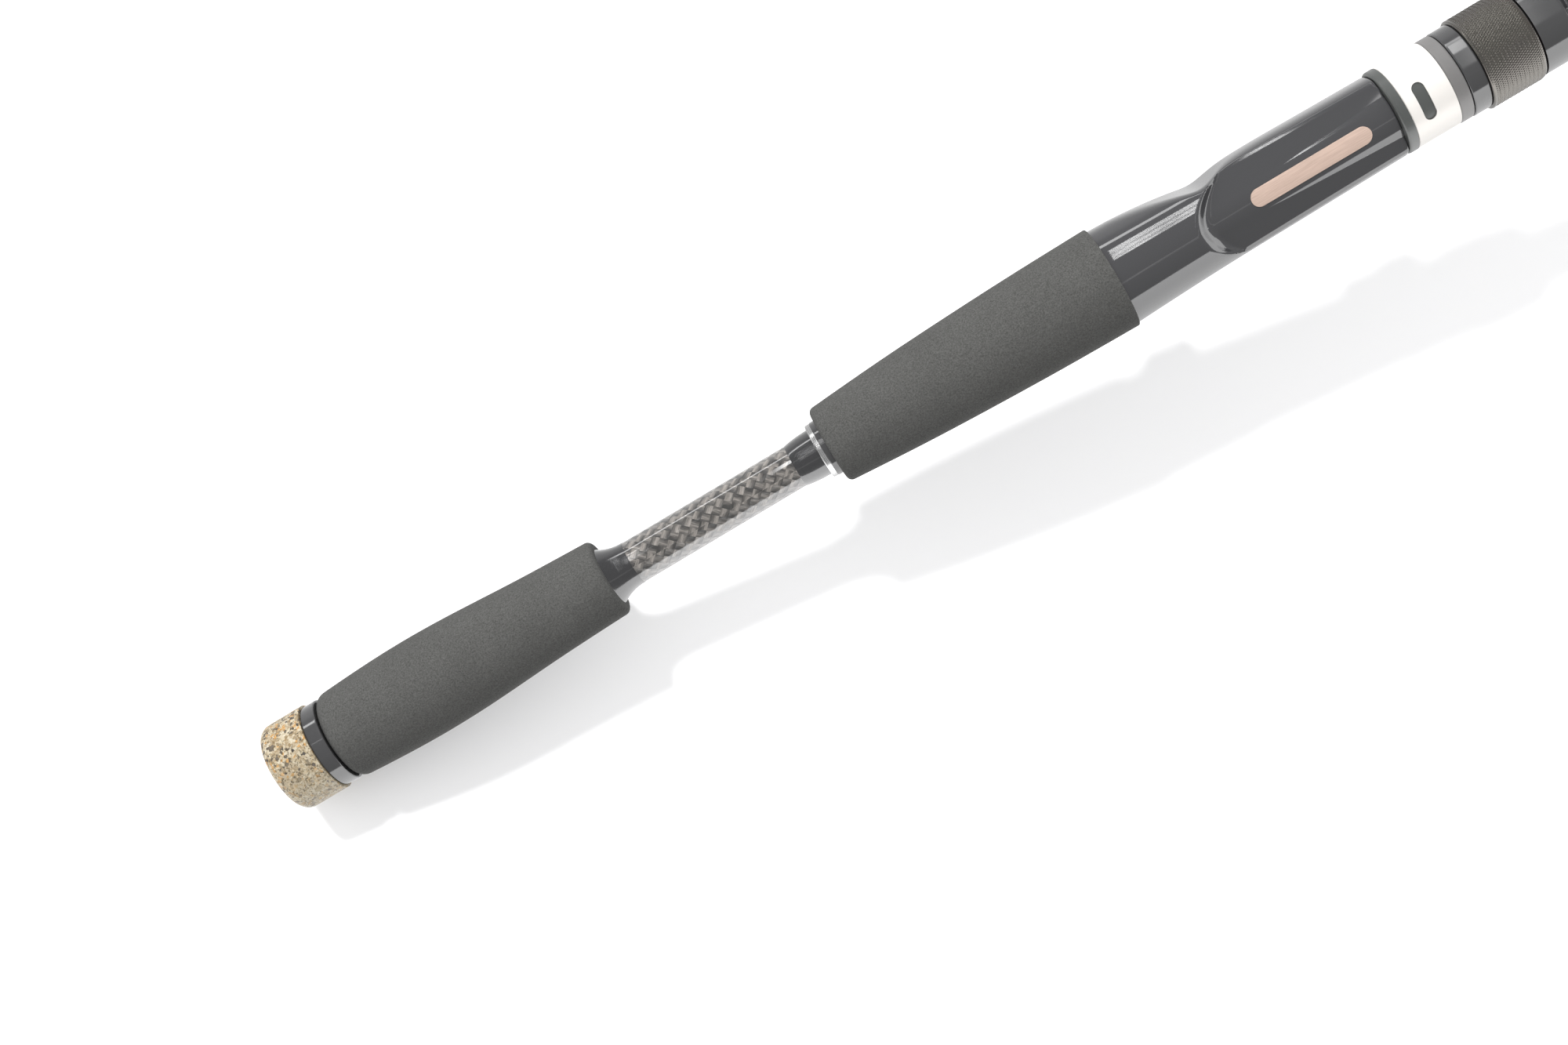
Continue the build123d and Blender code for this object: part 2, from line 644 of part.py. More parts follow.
def lock_nut():
    nut = bored_ring(NUT_START, NUT_END, BARREL_R + SLIP, NUT_R)
    nut = round_rims(nut, NUT_ROUND, (NUT_END, NUT_R))
    return round_rims(nut, 0.5, (NUT_START, NUT_R))


def nut_front_ring():
    ring = bored_ring(NUT_END, NUT_RING_END, BARREL_R + SLIP, NUT_RING_R)
    return round_rims(ring, 1.2, (NUT_RING_END, NUT_RING_R))


# ---------------------------------------------------------------- fore grip
def stop_ring():
    ring = on_blank(BARREL_END, FORE_GRIP_START, STOP_RING_R, STOP_RING_R)
    return round_rims(ring, 0.5, (BARREL_END, STOP_RING_R), (FORE_GRIP_START, STOP_RING_R))


def fore_grip():
    outer = [
        (FORE_GRIP_START, FORE_GRIP_START_R),
        (FORE_GRIP_START + 0.5 * FORE_GRIP_LENGTH, 0.5 * (FORE_GRIP_START_R + FORE_GRIP_END_R) + 0.5),
        (FORE_GRIP_END, FORE_GRIP_END_R),
    ]
    bore = [(FORE_GRIP_END, butt_blank_r(FORE_GRIP_END)), (FORE_GRIP_START, butt_blank_r(FORE_GRIP_START))]
    grip = turned_curve(outer, bore)
    return round_rims(grip, 1.2, (FORE_GRIP_START, FORE_GRIP_START_R), (FORE_GRIP_END, FORE_GRIP_END_R))


def fore_check():
    ring = on_blank(FORE_GRIP_END, FORE_CHECK_END, FORE_CHECK_R, FORE_CHECK_R)
    return round_rims(ring, 0.5, (FORE_CHECK_END, FORE_CHECK_R))


def plain_wrap(start, length, blank_r):
    """Thread wrap under varnish: a low sleeve with its ends run out."""
    end = start + length
    run = 1.5
    return turned(
        (start, blank_r(start)),
        (start, blank_r(start) + 0.1),
        (start + run, blank_r(start) + WRAP_SKIN),
        (end - run, blank_r(end) + WRAP_SKIN),
        (end, blank_r(end) + 0.1),
        (end, blank_r(end)),
    )


# ---------------------------------------------------------------- line guides
def ring_sizes(size):
    """Insert's inner and outer radius, and the holder's outer radius."""
    holder_wall = 0.35 + 0.025 * size
    insert_wall = 0.55 + 0.035 * size
    outer = size / 2
    return outer - holder_wall - insert_wall, outer - holder_wall, outer


def ring_width(size):
    return RING_WIDTH * (0.45 + 0.022 * size)


def guide_ring(along, size, drop):
    inner, outer, _ = ring_sizes(size)
    half = ring_width(size) / 2
    ring = bored_ring(-half, half, inner, outer)
    ring = round_rims(ring, 0.35 * (outer - inner), (-half, inner), (half, inner))
    return Pos(along, 0, -drop) * ring


def foot(start, end, blank_r, half_width):
    """Flat foot lying on the underside of the blank."""
    top = blank_r(0.5 * (start + end))
    return block((start, end), (-half_width, half_width), (-top - FOOT_THICK, -top + 1.0))


def guide_layout(along, size, drop, two_feet):
    """Where the feet begin and end: [(near end, far end), ...]."""
    reach = 0.62 * drop + 3.0
    length = 6.0 + 0.45 * size
    feet = [(along + reach, along + reach + length)]
    if two_feet:
        feet.append((along - reach, along - reach - length))
    return feet


def guide_frame(along, size, drop, wire_r, two_feet, blank_r, envelope):
    _, insert_r, holder_r = ring_sizes(size)
    half = 0.36 * ring_width(size)
    holder = Pos(along, 0, -drop) * bored_ring(-half, half, insert_r, holder_r)
    feet = guide_layout(along, size, drop, two_feet)
    seat_height = -blank_r(feet[0][0]) - 0.6 * wire_r
    side = radians(35)
    grab_r = holder_r - 0.5 * wire_r + 0.25
    members = []
    for sign in (-1, 1):
        grab = (along, sign * grab_r * cos(side), -drop + grab_r * sin(side))
        toe = (feet[0][0] + 1.0, sign * 0.9 * wire_r, seat_height)
        members.append(wire(grab, toe, wire_r))
    if two_feet:
        heel_height = -blank_r(feet[1][0]) - 0.6 * wire_r
        heel = (feet[1][0] - 1.0, 0, heel_height)
        members.append(wire((along, 0, -drop + holder_r), heel, wire_r))
    for near, far in feet:
        start, end = sorted((near, far))
        members.append(foot(start, end, blank_r, 1.9 * wire_r))
    frame = holder + members
    eye = Pos(along, 0, -drop) * Rot(0, 90, 0) * Cylinder(insert_r, 60)
    frame -= eye
    return frame - envelope


def guide_wraps(along, size, drop, wire_r, two_feet, blank_r, frame, envelope):
    """One thread wrap over each foot."""
    wraps = []
    for near, far in guide_layout(along, size, drop, two_feet):
        sense = 1 if far > near else -1
        start, end = sorted((near + sense * 2.2, far + sense * 3.0))
        r = blank_r(start if sense > 0 else end) + WRAP_SKIN
        top = blank_r(0.5 * (start + end)) + FOOT_THICK + WRAP_SKIN
        barrel = Pos(0.5 * (start + end), 0, 0) * Rot(0, 90, 0) * Cylinder(r, end - start)
        half = 1.9 * wire_r + WRAP_SKIN
        hump = block((start, end), (-half, half), (-top, 0))
        hump = fillet(hump.edges().filter_by(Axis.X).group_by(Axis.Z)[0], 0.45)
        wraps.append(barrel + hump - envelope - frame)
    return Compound(children=wraps) if len(wraps) > 1 else wraps[0]


# ---------------------------------------------------------------- tip-top
def tip_top_frame(envelope):
    r_out = tip_blank_r(TIP_TUBE_START) + TIP_TUBE_WALL
    _, insert_r, holder_r = ring_sizes(TIP_RING_SIZE)
    half = 0.36 * ring_width(TIP_RING_SIZE)
    centre = ROD_LENGTH - ring_width(TIP_RING_SIZE) / 2
    tube = Pos(TIP_TUBE_START, 0, 0) * Rot(0, 90, 0) * Cylinder(
        r_out, TIP_TUBE_LENGTH + TIP_CAP, align=(Align.CENTER, Align.CENTER, Align.MIN)
    )
    frame = tube + Pos(centre, 0, -TIP_RING_DROP) * bored_ring(-half, half, insert_r, holder_r)
    for sign in (-1, 1):
        side = radians(20)
        grab_r = holder_r - 0.2
        grab = (centre, sign * grab_r * cos(side), -TIP_RING_DROP + grab_r * sin(side))
        frame += wire((TIP_TUBE_END - 4.0, sign * 0.8 * r_out, 0), grab, TIP_WIRE_R)
    frame += wire((TIP_TUBE_END + TIP_CAP / 2, 0, 0), (centre, 0, -TIP_RING_DROP + holder_r - 0.2), TIP_WIRE_R)
    frame -= Pos(centre, 0, -TIP_RING_DROP) * Rot(0, 90, 0) * Cylinder(insert_r, 60)
    return frame - envelope


def tip_top_ring():
    centre = ROD_LENGTH - ring_width(TIP_RING_SIZE) / 2
    return guide_ring(centre, TIP_RING_SIZE, TIP_RING_DROP)


# ---------------------------------------------------------------- everything
def build():
    os.makedirs("parts", exist_ok=True)
    pieces = {
        "butt_cap": butt_cap(),
        "butt_trim_ring": butt_trim_ring(),
        "rear_grip": rear_grip(),
        "blank_butt": blank_butt(),
        "carbon_sleeve": carbon_sleeve(),
        "split_wrap_rear": split_wrap_rear(),
        "split_wrap_front": split_wrap_front(),
        "grip_check": grip_check(),
        "grip_collar": grip_collar(),
        "mid_grip": mid_grip(),
        "seat_body": seat_body(),
        "seat_arbor_rear": seat_arbor(SEAT_START + 4, SEAT_START + 44),
        "seat_arbor_front": seat_arbor(BARREL_END - 60, BARREL_END - 6),
        "fixed_hood_liner": fixed_hood_liner(),
        "seat_label_plate": seat_label_plate(),
        "hood_liner": hood_liner(),
        "hood_shell": hood_shell(),
        "hood_badge": hood_badge(),
        "hood_trim_ring": hood_trim_ring(),
        "nut_collar": nut_collar(),
        "lock_nut": lock_nut(),
        "nut_front_ring": nut_front_ring(),
        "stop_ring": stop_ring(),
        "fore_grip": fore_grip(),
        "fore_check": fore_check(),
        "fore_wrap": plain_wrap(FORE_CHECK_END, FORE_WRAP_LENGTH, butt_blank_r),
        "ferrule_wrap_butt": plain_wrap(
            FERRULE_START - 1 - FERRULE_WRAP_LENGTH, FERRULE_WRAP_LENGTH, butt_blank_r
        ),
        "blank_tip": blank_tip(),
        "ferrule_sleeve": ferrule_sleeve(),
        "ferrule_wrap_tip": plain_wrap(FERRULE_START + 1, 1.4 * FERRULE_WRAP_LENGTH, ferrule_sleeve_r),
    }
    butt_envelope = turned(
        (BLANK_INSET, 0),
        (BLANK_INSET, butt_blank_r(BLANK_INSET)),
        (FERRULE_END, butt_blank_r(FERRULE_END)),
        (FERRULE_END, 0),
    )
    tip_envelope = turned(
        (SOCKET_END, 0),
        (SOCKET_END, tip_blank_r(SOCKET_END)),
        (TIP_TUBE_END, TIP_BLANK_R),
        (TIP_TUBE_END, 0),
    )
    for number, (share, size, drop, wire_r, two_feet) in GUIDES.items():
        along = share * ROD_LENGTH
        blank_r = butt_blank_r if along < FERRULE_START else tip_blank_r
        envelope = butt_envelope if along < FERRULE_START else tip_envelope
        frame = guide_frame(along, size, drop, wire_r, two_feet, blank_r, envelope)
        pieces[f"guide_{number}_frame"] = frame
        pieces[f"guide_{number}_ring"] = guide_ring(along, size, drop)
        pieces[f"guide_{number}_wraps"] = guide_wraps(
            along, size, drop, wire_r, two_feet, blank_r, frame, envelope
        )
    tip_frame = tip_top_frame(tip_envelope)
    pieces["tip_top_frame"] = tip_frame
    pieces["tip_top_ring"] = tip_top_ring()
    pieces["tip_top_wrap"] = plain_wrap(TIP_TUBE_START - 7.0, 7.0, tip_blank_r)
    for node, shape in pieces.items():
        save(node, shape)


build()
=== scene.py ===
# %% [markdown]
# # A spinning rod, dressed for the studio
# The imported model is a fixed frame: every piece already has its place and size. This notebook
# gives it skin. Some nodes keep their shape and get a finish; others are replaced by surfaces
# worked out with numpy, because a foam grip, a knurl or a moulded seat needs shape that a
# plain turned solid lacks.

# %% Load the frame
import math

import bpy
import numpy as np
from mathutils import Matrix, Vector


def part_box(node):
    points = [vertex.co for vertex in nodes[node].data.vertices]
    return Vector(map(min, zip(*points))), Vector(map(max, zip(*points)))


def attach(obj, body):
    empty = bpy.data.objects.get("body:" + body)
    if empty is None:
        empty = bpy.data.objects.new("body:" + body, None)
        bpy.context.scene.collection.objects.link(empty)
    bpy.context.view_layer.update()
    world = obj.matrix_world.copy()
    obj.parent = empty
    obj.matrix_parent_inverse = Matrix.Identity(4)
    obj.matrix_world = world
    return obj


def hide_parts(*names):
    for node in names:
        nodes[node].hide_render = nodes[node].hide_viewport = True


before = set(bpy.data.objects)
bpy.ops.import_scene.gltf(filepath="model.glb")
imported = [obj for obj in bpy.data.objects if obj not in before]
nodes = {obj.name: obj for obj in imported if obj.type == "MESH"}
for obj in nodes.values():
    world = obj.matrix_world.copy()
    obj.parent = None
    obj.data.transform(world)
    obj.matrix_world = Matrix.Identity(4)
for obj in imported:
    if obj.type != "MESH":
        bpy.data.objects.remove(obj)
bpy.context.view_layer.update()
MM = 0.001


# %% [markdown]
# ## Reading sizes from the frame
# Every surface below starts from the box of the node that it dresses, so nothing has to be
# fitted afterwards. The rod's axis is X, so a node's span along the rod is the X part of its
# box, and its largest radius is the Y part.

# %% Spans and radii
def span(node):
    """Where a node starts and ends along the rod, in millimetres."""
    low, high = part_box(node)
    return low.x / MM, high.x / MM


def reach(node):
    """A turned node's largest radius, in millimetres."""
    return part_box(node)[1].y / MM


print("seat from", span("seat_body"), "to the thread's end")

# %% [markdown]
# ## The camera
# The rod lies on a table and is seen from above, a little round its side and a little towards
# its butt. The camera's axes are built from the rod's own direction: it crosses the view
# from lower left to upper right. A matrix made from three axes is easier to trust than three
# turning angles, because each column can be read.

# %% Place the camera
ROD_SLANT = math.radians(30.7)
CAMERA_AT = Vector((0.2096, 0.1211, 0.6231))
CAMERA_AIM = Vector((0.1589, -0.0117, 0.0023))
LENS_MM = 52.47


def aim_matrix(place, target, slant):
    """Columns right, up and back, turned so that the rod climbs by slant across the view."""
    back = (place - target).normalized()
    rod = Vector((1, 0, 0))
    along = (rod - rod.dot(back) * back).normalized()
    across = back.cross(along)
    right = math.cos(slant) * along - math.sin(slant) * across
    up = math.sin(slant) * along + math.cos(slant) * across
    turn = Matrix((right, up, back)).transposed().to_4x4()
    return Matrix.Translation(place) @ turn


camera_data = bpy.data.cameras.new("camera")
camera_data.lens = LENS_MM
camera_data.sensor_width = 36.0
camera_data.clip_end = 20.0
camera = bpy.data.objects.new("camera", camera_data)
camera.matrix_world = aim_matrix(CAMERA_AT, CAMERA_AIM, ROD_SLANT)
bpy.context.scene.collection.objects.link(camera)
bpy.context.scene.camera = camera
print("camera", tuple(round(v, 3) for v in camera.location))

# %% [markdown]
# ## From arrays to a mesh
# A turned piece is a profile carried round the axis, so its points form a grid: one row for
# each profile point, one column for each step round. The faces join each point to its
# neighbours in the next row and column. Where the profile is a closed loop the last row joins
# the first, which gives a ring with a bore. Where it starts or ends on the axis, one single
# point and a fan of triangles close it.
#
# Each piece also gets a UV map in real millimetres: u round the piece, v along the rod. A
# weave or a thread pattern can then be drawn at its true size.

# %% Grid mesh helpers
def ring_faces(rows, columns, loop):
    """Quads of a grid that wraps round its columns, and over its rows where loop is true."""
    count = rows if loop else rows - 1
    row, column = np.meshgrid(np.arange(count), np.arange(columns), indexing="ij")
    above = (row + 1) % rows
    beside = (column + 1) % columns
    near = (row * columns + column, row * columns + beside)
    far = (above * columns + beside, above * columns + column)
    return np.stack(near + far, axis=-1).reshape(-1, 4)


def fan_faces(columns, first, pole, flip):
    """Triangles from one row of the grid to a single point."""
    here = first + np.arange(columns)
    there = first + (np.arange(columns) + 1) % columns
    order = (there, here) if flip else (here, there)
    return np.stack((*order, np.full(columns, pole)), axis=-1)


def add_mesh(name, points, faces, uv=None, crease=math.radians(40)):
    """A smooth-shaded object from points in millimetres, with its faces turned outwards."""
    mesh = bpy.data.meshes.new(name)
    mesh.from_pydata((points * MM).tolist(), [], [f.tolist() for part in faces for f in part])
    mesh.polygons.foreach_set("use_smooth", np.ones(len(mesh.polygons), bool))
    if uv is not None:
        corner = np.zeros(len(mesh.loops), np.int32)
        mesh.loops.foreach_get("vertex_index", corner)
        layer = mesh.uv_layers.new(name="millimetres")
        layer.data.foreach_set("uv", unwrap_seam(uv[corner], mesh).ravel())
    mesh.set_sharp_from_angle(angle=crease)
    mesh.update()
    piece = bpy.data.objects.new(name, mesh)
    bpy.context.scene.collection.objects.link(piece)
    return piece


def unwrap_seam(uv, mesh):
    """Lift u by one whole turn on the faces that cross the seam, so the pattern doesn't fold."""
    starts = np.zeros(len(mesh.polygons), np.int32)
    totals = np.zeros(len(mesh.polygons), np.int32)
    mesh.polygons.foreach_get("loop_start", starts)
    mesh.polygons.foreach_get("loop_total", totals)
    face = np.repeat(np.arange(len(starts)), totals)
    turn = uv[:, 0].max() * 1.0
    high = np.maximum.reduceat(uv[:, 0], starts)[face]
    low = uv[:, 0] < high - 0.5 * turn
    out = uv.copy()
    columns = np.unique(np.round(uv[:, 0], 6)).size
    out[low, 0] += turn * columns / (columns - 1)
    return out


def turned(name, along, radius, around=160, loop=True, crease=math.radians(40)):
    """Surface (x, r sin t, r cos t) for each profile point (x, r) and each angle t round the axis.

    radius may be one value for each profile point, or a whole grid with one for each angle too.
    """
    angle = np.linspace(0, 2 * np.pi, around, endpoint=False)
    along = np.asarray(along, float)
    radius = np.asarray(radius, float)
    grid_r = radius if radius.ndim == 2 else np.repeat(radius[:, None], around, axis=1)
    grid_x = np.repeat(along[:, None], around, axis=1)
    points = np.stack((grid_x, grid_r * np.sin(angle), grid_r * np.cos(angle)), axis=-1)
    rows = len(along)
    reference = float(np.max(grid_r))
    uv = np.stack((np.repeat((angle * reference)[None], rows, axis=0), grid_x), axis=-1).reshape(-1, 2)
    points = points.reshape(-1, 3)
    faces = [ring_faces(rows, around, loop)]
    if not loop:
        poles = np.array([[along[0], 0, 0], [along[-1], 0, 0]])
        points = np.concatenate((points, poles))
        uv = np.concatenate((uv, [[0, along[0]], [0, along[-1]]]))
        faces.append(fan_faces(around, 0, rows * around, True))
        faces.append(fan_faces(around, (rows - 1) * around, rows * around + 1, False))
    return add_mesh(name, points, faces, uv, crease)


# %% [markdown]
# ## Profiles with rounded corners
# A maker never leaves a turned corner sharp. A profile is written as corners, each with the
# radius of its rounding, and a small function swaps every corner for an arc that is tangent
# to both of its sides.

# %% Rounded outlines and smooth curves
def rounded(corners, steps=7, closed=True):
    """Replace each (x, r, rounding) corner by an arc tangent to its two sides."""
    place = np.array([c[:2] for c in corners], float)
    rounding = np.array([c[2] for c in corners], float)
    out = []
    for i, here in enumerate(place):
        ends = not closed and i in (0, len(place) - 1)
        if ends or rounding[i] == 0:
            out.append(here[None])
            continue
        before = place[i - 1] - here
        after = place[(i + 1) % len(place)] - here
        unit_b = before / np.linalg.norm(before)
        unit_a = after / np.linalg.norm(after)
        half = 0.5 * np.arccos(np.clip(unit_b @ unit_a, -1, 1))
        middle = (unit_b + unit_a) / np.linalg.norm(unit_b + unit_a)
        centre = here + middle * rounding[i] / np.sin(half)
        start = here + unit_b * rounding[i] / np.tan(half) - centre
        end = here + unit_a * rounding[i] / np.tan(half) - centre
        share = np.linspace(0, 1, steps)[:, None]
        sweep = np.pi - 2 * half
        arc = (np.sin((1 - share) * sweep) * start + np.sin(share * sweep) * end) / np.sin(sweep)
        out.append(centre + arc)
    return np.concatenate(out)


def smooth_curve(stations, count):
    """Natural cubic spline through (x, value) stations, sampled at count even places."""
    x, y = np.array(stations, float).T
    h = np.diff(x)
    n = len(x)
    system = np.eye(n)
    right = np.zeros(n)
    for i in range(1, n - 1):
        system[i, i - 1 : i + 2] = h[i - 1], 2 * (h[i - 1] + h[i]), h[i]
        right[i] = 6 * ((y[i + 1] - y[i]) / h[i] - (y[i] - y[i - 1]) / h[i - 1])
    bend = np.linalg.solve(system, right)
    at = np.linspace(x[0], x[-1], count)
    k = np.clip(np.searchsorted(x, at, side="right") - 1, 0, n - 2)
    a = x[k + 1] - at
    b = at - x[k]
    value = (bend[k] * a**3 + bend[k + 1] * b**3) / (6 * h[k])
    value += (y[k] / h[k] - bend[k] * h[k] / 6) * a + (y[k + 1] / h[k] - bend[k + 1] * h[k] / 6) * b
    return at, value


def soft_min(a, b, blend):
    """The smaller of two surfaces, with the edge between them rounded over a width of blend."""
    gap = np.clip(0.5 + 0.5 * (b - a) / blend, 0, 1)
    return b * (1 - gap) + a * gap - blend * gap * (1 - gap)


def soft_max(a, b, blend):
    """The larger of two surfaces, with the valley between them filled over a width of blend."""
    return -soft_min(-a, -b, blend)


def dress(piece, body, finish, slot, *replaced):
    """Give a piece its finish, its place in the moving frame and the nodes that it stands for."""
    piece.data.materials.clear()
    piece.data.materials.append(finish)
    if replaced:
        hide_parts(*replaced)
    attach(piece, body)
    print(piece.name, "faces", len(piece.data.polygons))
    return piece


# %% [markdown]
# ## Finishes
# All finishes are node materials on Blender's Principled shader. Small functions add the
# texture nodes: a noise, a bump from it, a colour ramp. Patterns read Object coordinates in
# metres, so a scale of 4000 means grains a quarter of a millimetre wide.

# %% Shader helpers
class Finish:
    """One material being built: its node tree, its shader and helpers that add nodes."""

    def __init__(self, name, color, roughness, **sockets):
        self.material = bpy.data.materials.new(name)
        self.material.use_nodes = True
        self.tree = self.material.node_tree
        self.shader = self.tree.nodes["Principled BSDF"]
        self.shader.inputs["Base Color"].default_value = (*color, 1)
        self.shader.inputs["Roughness"].default_value = roughness
        for label, value in sockets.items():
            self.shader.inputs[label.replace("_", " ")].default_value = value

    def node(self, kind, links=None, **settings):
        """Add a node, set its properties and plug in its inputs."""
        made = self.tree.nodes.new(kind)
        for key, value in settings.items():
            setattr(made, key, value)
        for label, source in (links or {}).items():
            socket = made.inputs[label]
            if isinstance(source, bpy.types.NodeSocket):
                self.tree.links.new(source, socket)
            else:
                socket.default_value = source
        return made

    def place(self):
        return self.node("ShaderNodeTexCoord").outputs["Object"]

    def sheet(self):
        return self.node("ShaderNodeUVMap", uv_map="millimetres").outputs["UV"]

    def stretched(self, vector, scale):
        return self.node("ShaderNodeMapping", {"Vector": vector, "Scale": scale}).outputs["Vector"]

    def noise(self, vector, scale, detail=2.0, rough=0.5):
        links = {"Vector": vector, "Scale": scale, "Detail": detail, "Roughness": rough}
        return self.node("ShaderNodeTexNoise", links).outputs["Fac"]

    def cells(self, vector, scale, output="Color", feature="F1"):
        made = self.node("ShaderNodeTexVoronoi", {"Vector": vector, "Scale": scale}, feature=feature)
        return made.outputs[output]

    def math(self, operation, *values):
        made = self.node("ShaderNodeMath", operation=operation)
        for socket, value in zip(made.inputs, values):
            if isinstance(value, bpy.types.NodeSocket):
                self.tree.links.new(value, socket)
            else:
                socket.default_value = value
        return made.outputs[0]

    def ramp(self, source, stops, constant=False):
        """A colour for each position: stops are (position, (r, g, b))."""
        made = self.node("ShaderNodeValToRGB", {"Fac": source})
        made.color_ramp.interpolation = "CONSTANT" if constant else "LINEAR"
        for i, (position, color) in enumerate(stops):
            stop = made.color_ramp.elements[i] if i < 2 else made.color_ramp.elements.new(position)
            stop.position = position
            stop.color = (*color, 1)
        return made.outputs["Color"]

    def mix(self, share, a, b, blend="MIX"):
        made = self.node("ShaderNodeMix", data_type="RGBA", blend_type=blend)
        for index, value in ((0, share), (6, a), (7, b)):
            if isinstance(value, bpy.types.NodeSocket):
                self.tree.links.new(value, made.inputs[index])
            else:
                made.inputs[index].default_value = value if index == 0 else (*value, 1)
        return made.outputs[2]

    def spread(self, source, low, high):
        """Stretch a 0 to 1 value to the range from low to high."""
        links = {"Value": source, "To Min": low, "To Max": high}
        return self.node("ShaderNodeMapRange", links).outputs["Result"]

    def color(self, source):
        self.tree.links.new(source, self.shader.inputs["Base Color"])

    def rough(self, source):
        self.tree.links.new(source, self.shader.inputs["Roughness"])

    def bump(self, height, depth_mm, strength=1.0, into="Normal"):
        """Tilt the surface as if it rose by depth_mm where height is 1."""
        links = {"Height": height, "Distance": depth_mm * MM, "Strength": strength}
        self.tree.links.new(self.node("ShaderNodeBump", links).outputs["Normal"], self.shader.inputs[into])


# %% [markdown]
# ### Foam, cork and thread
# The grips are closed-cell foam, sanded: nearly black, without shine, with a fine grain. The
# butt cap is ground cork and rubber pressed with glue, so its look is made of crumbs: two
# sizes of random cells, each cell one flat tone from a short list of tones. The wraps are
# fine thread drowned in varnish, so they are thin ridges under a wet coat.

# %% Soft finishes
def foam_finish():
    """Matte closed-cell foam: fine grain, and a faint broad unevenness over it."""
    made = Finish("eva_foam", (0.060, 0.060, 0.058), 0.9, Specular_IOR_Level=0.15)
    place = made.place()
    grain = made.noise(place, 2400, 3.0, 0.65)
    tone = made.ramp(grain, [(0.30, (0.039, 0.039, 0.037)), (0.70, (0.083, 0.083, 0.080))])
    uneven = made.noise(place, 90, 2.0)
    broad = made.ramp(uneven, [(0.3, (0.93, 0.93, 0.93)), (0.7, (1.0, 1.0, 1.0))])
    made.color(made.mix(1.0, tone, broad, "MULTIPLY"))
    made.bump(grain, 0.10, 0.8)
    return made.material


RUST_CRUMBS = [
    (0.0, (0.264, 0.215, 0.143)),
    (0.24, (0.334, 0.292, 0.210)),
    (0.46, (0.194, 0.146, 0.084)),
    (0.60, (0.352, 0.206, 0.076)),
    (0.70, (0.088, 0.073, 0.055)),
    (0.80, (0.370, 0.335, 0.260)),
    (0.93, (0.048, 0.043, 0.038)),
]
PALE_CRUMBS = [
    (0.0, (0.317, 0.284, 0.218)),
    (0.30, (0.370, 0.335, 0.260)),
    (0.62, (0.264, 0.224, 0.151)),
    (0.80, (0.317, 0.232, 0.126)),
    (0.92, (0.141, 0.120, 0.101)),
]
GRIT = [(0.0, (1.0, 1.0, 1.0)), (0.55, (0.80, 0.74, 0.64)), (0.85, (0.45, 0.42, 0.38))]


def cork_finish():
    """Pressed crumbs, rusty and dark toward +Y, paler toward -Y, with finer grit over both."""
    made = Finish("cork_composite", (0.3, 0.24, 0.15), 0.5, Specular_IOR_Level=0.3)
    place = made.place()
    crumbs = made.cells(place, 1250)
    picker = made.node("ShaderNodeSeparateColor", {"Color": crumbs}).outputs["Red"]
    rusty = made.ramp(picker, RUST_CRUMBS, constant=True)
    pale = made.ramp(picker, PALE_CRUMBS, constant=True)
    spot = made.node("ShaderNodeSeparateXYZ", {"Vector": place})
    wander = made.math("MULTIPLY", made.noise(place, 150, 3.0), 0.016)
    share = made.spread(made.math("ADD", spot.outputs["Y"], wander), 0.0, 1.0)
    share.node.inputs["From Min"].default_value = -0.002
    share.node.inputs["From Max"].default_value = 0.014
    blended = made.mix(share, pale, rusty)
    fine = made.cells(place, 2600)
    fleck = made.node("ShaderNodeSeparateColor", {"Color": fine}).outputs["Green"]
    made.color(made.mix(1.0, blended, made.ramp(fleck, GRIT, True), "MULTIPLY"))
    made.bump(made.cells(place, 1250, "Distance"), 0.10, 0.5)
    return made.material


def thread_finish():
    coat = {"Coat_Weight": 1.0, "Coat_Roughness": 0.03}
    made = Finish("thread_black", (0.012, 0.012, 0.013), 0.30, Specular_IOR_Level=0.2, **coat)
    waves = made.noise(made.place(), 90, 2.0)
    made.bump(waves, 0.25, 0.5, "Coat Normal")
    return made.material


FOAM = foam_finish()
CORK = cork_finish()
THREAD = thread_finish()

# %% [markdown]
# ### Plastic, metal and lacquer
# Polished black plastic is almost only reflection, so its colour matters less than a very
# slight waviness of its surface. Satin metal needs the opposite: a rough, even skin with tiny
# grain. Brushed metal gets noise that is stretched along the brushing.

# %% Hard finishes
def gloss_finish(name, color, roughness=0.07, wave_mm=0.05):
    made = Finish(name, color, roughness)
    made.bump(made.noise(made.place(), 60, 1.0), wave_mm, 0.35)
    return made.material


def satin_finish(name, color, roughness, grain=5200, metallic=1.0):
    made = Finish(name, color, roughness, Metallic=metallic)
    speckle = made.noise(made.place(), grain, 2.0)
    made.rough(made.spread(speckle, roughness - 0.06, roughness + 0.08))
    made.bump(speckle, 0.02, 0.5)
    return made.material


def brushed_finish(name, color, roughness, streak=(120, 5000, 5000), metallic=1.0):
    made = Finish(name, color, roughness, Metallic=metallic)
    lines = made.noise(made.stretched(made.place(), streak), 1.0, 4.0, 0.7)
    light = tuple(min(1.0, 1.18 * c) for c in color)
    dark = tuple(0.80 * c for c in color)
    made.color(made.ramp(lines, [(0.3, dark), (0.7, light)]))
    made.rough(made.spread(lines, roughness - 0.08, roughness + 0.12))
    made.bump(lines, 0.01, 0.5)
    return made.material


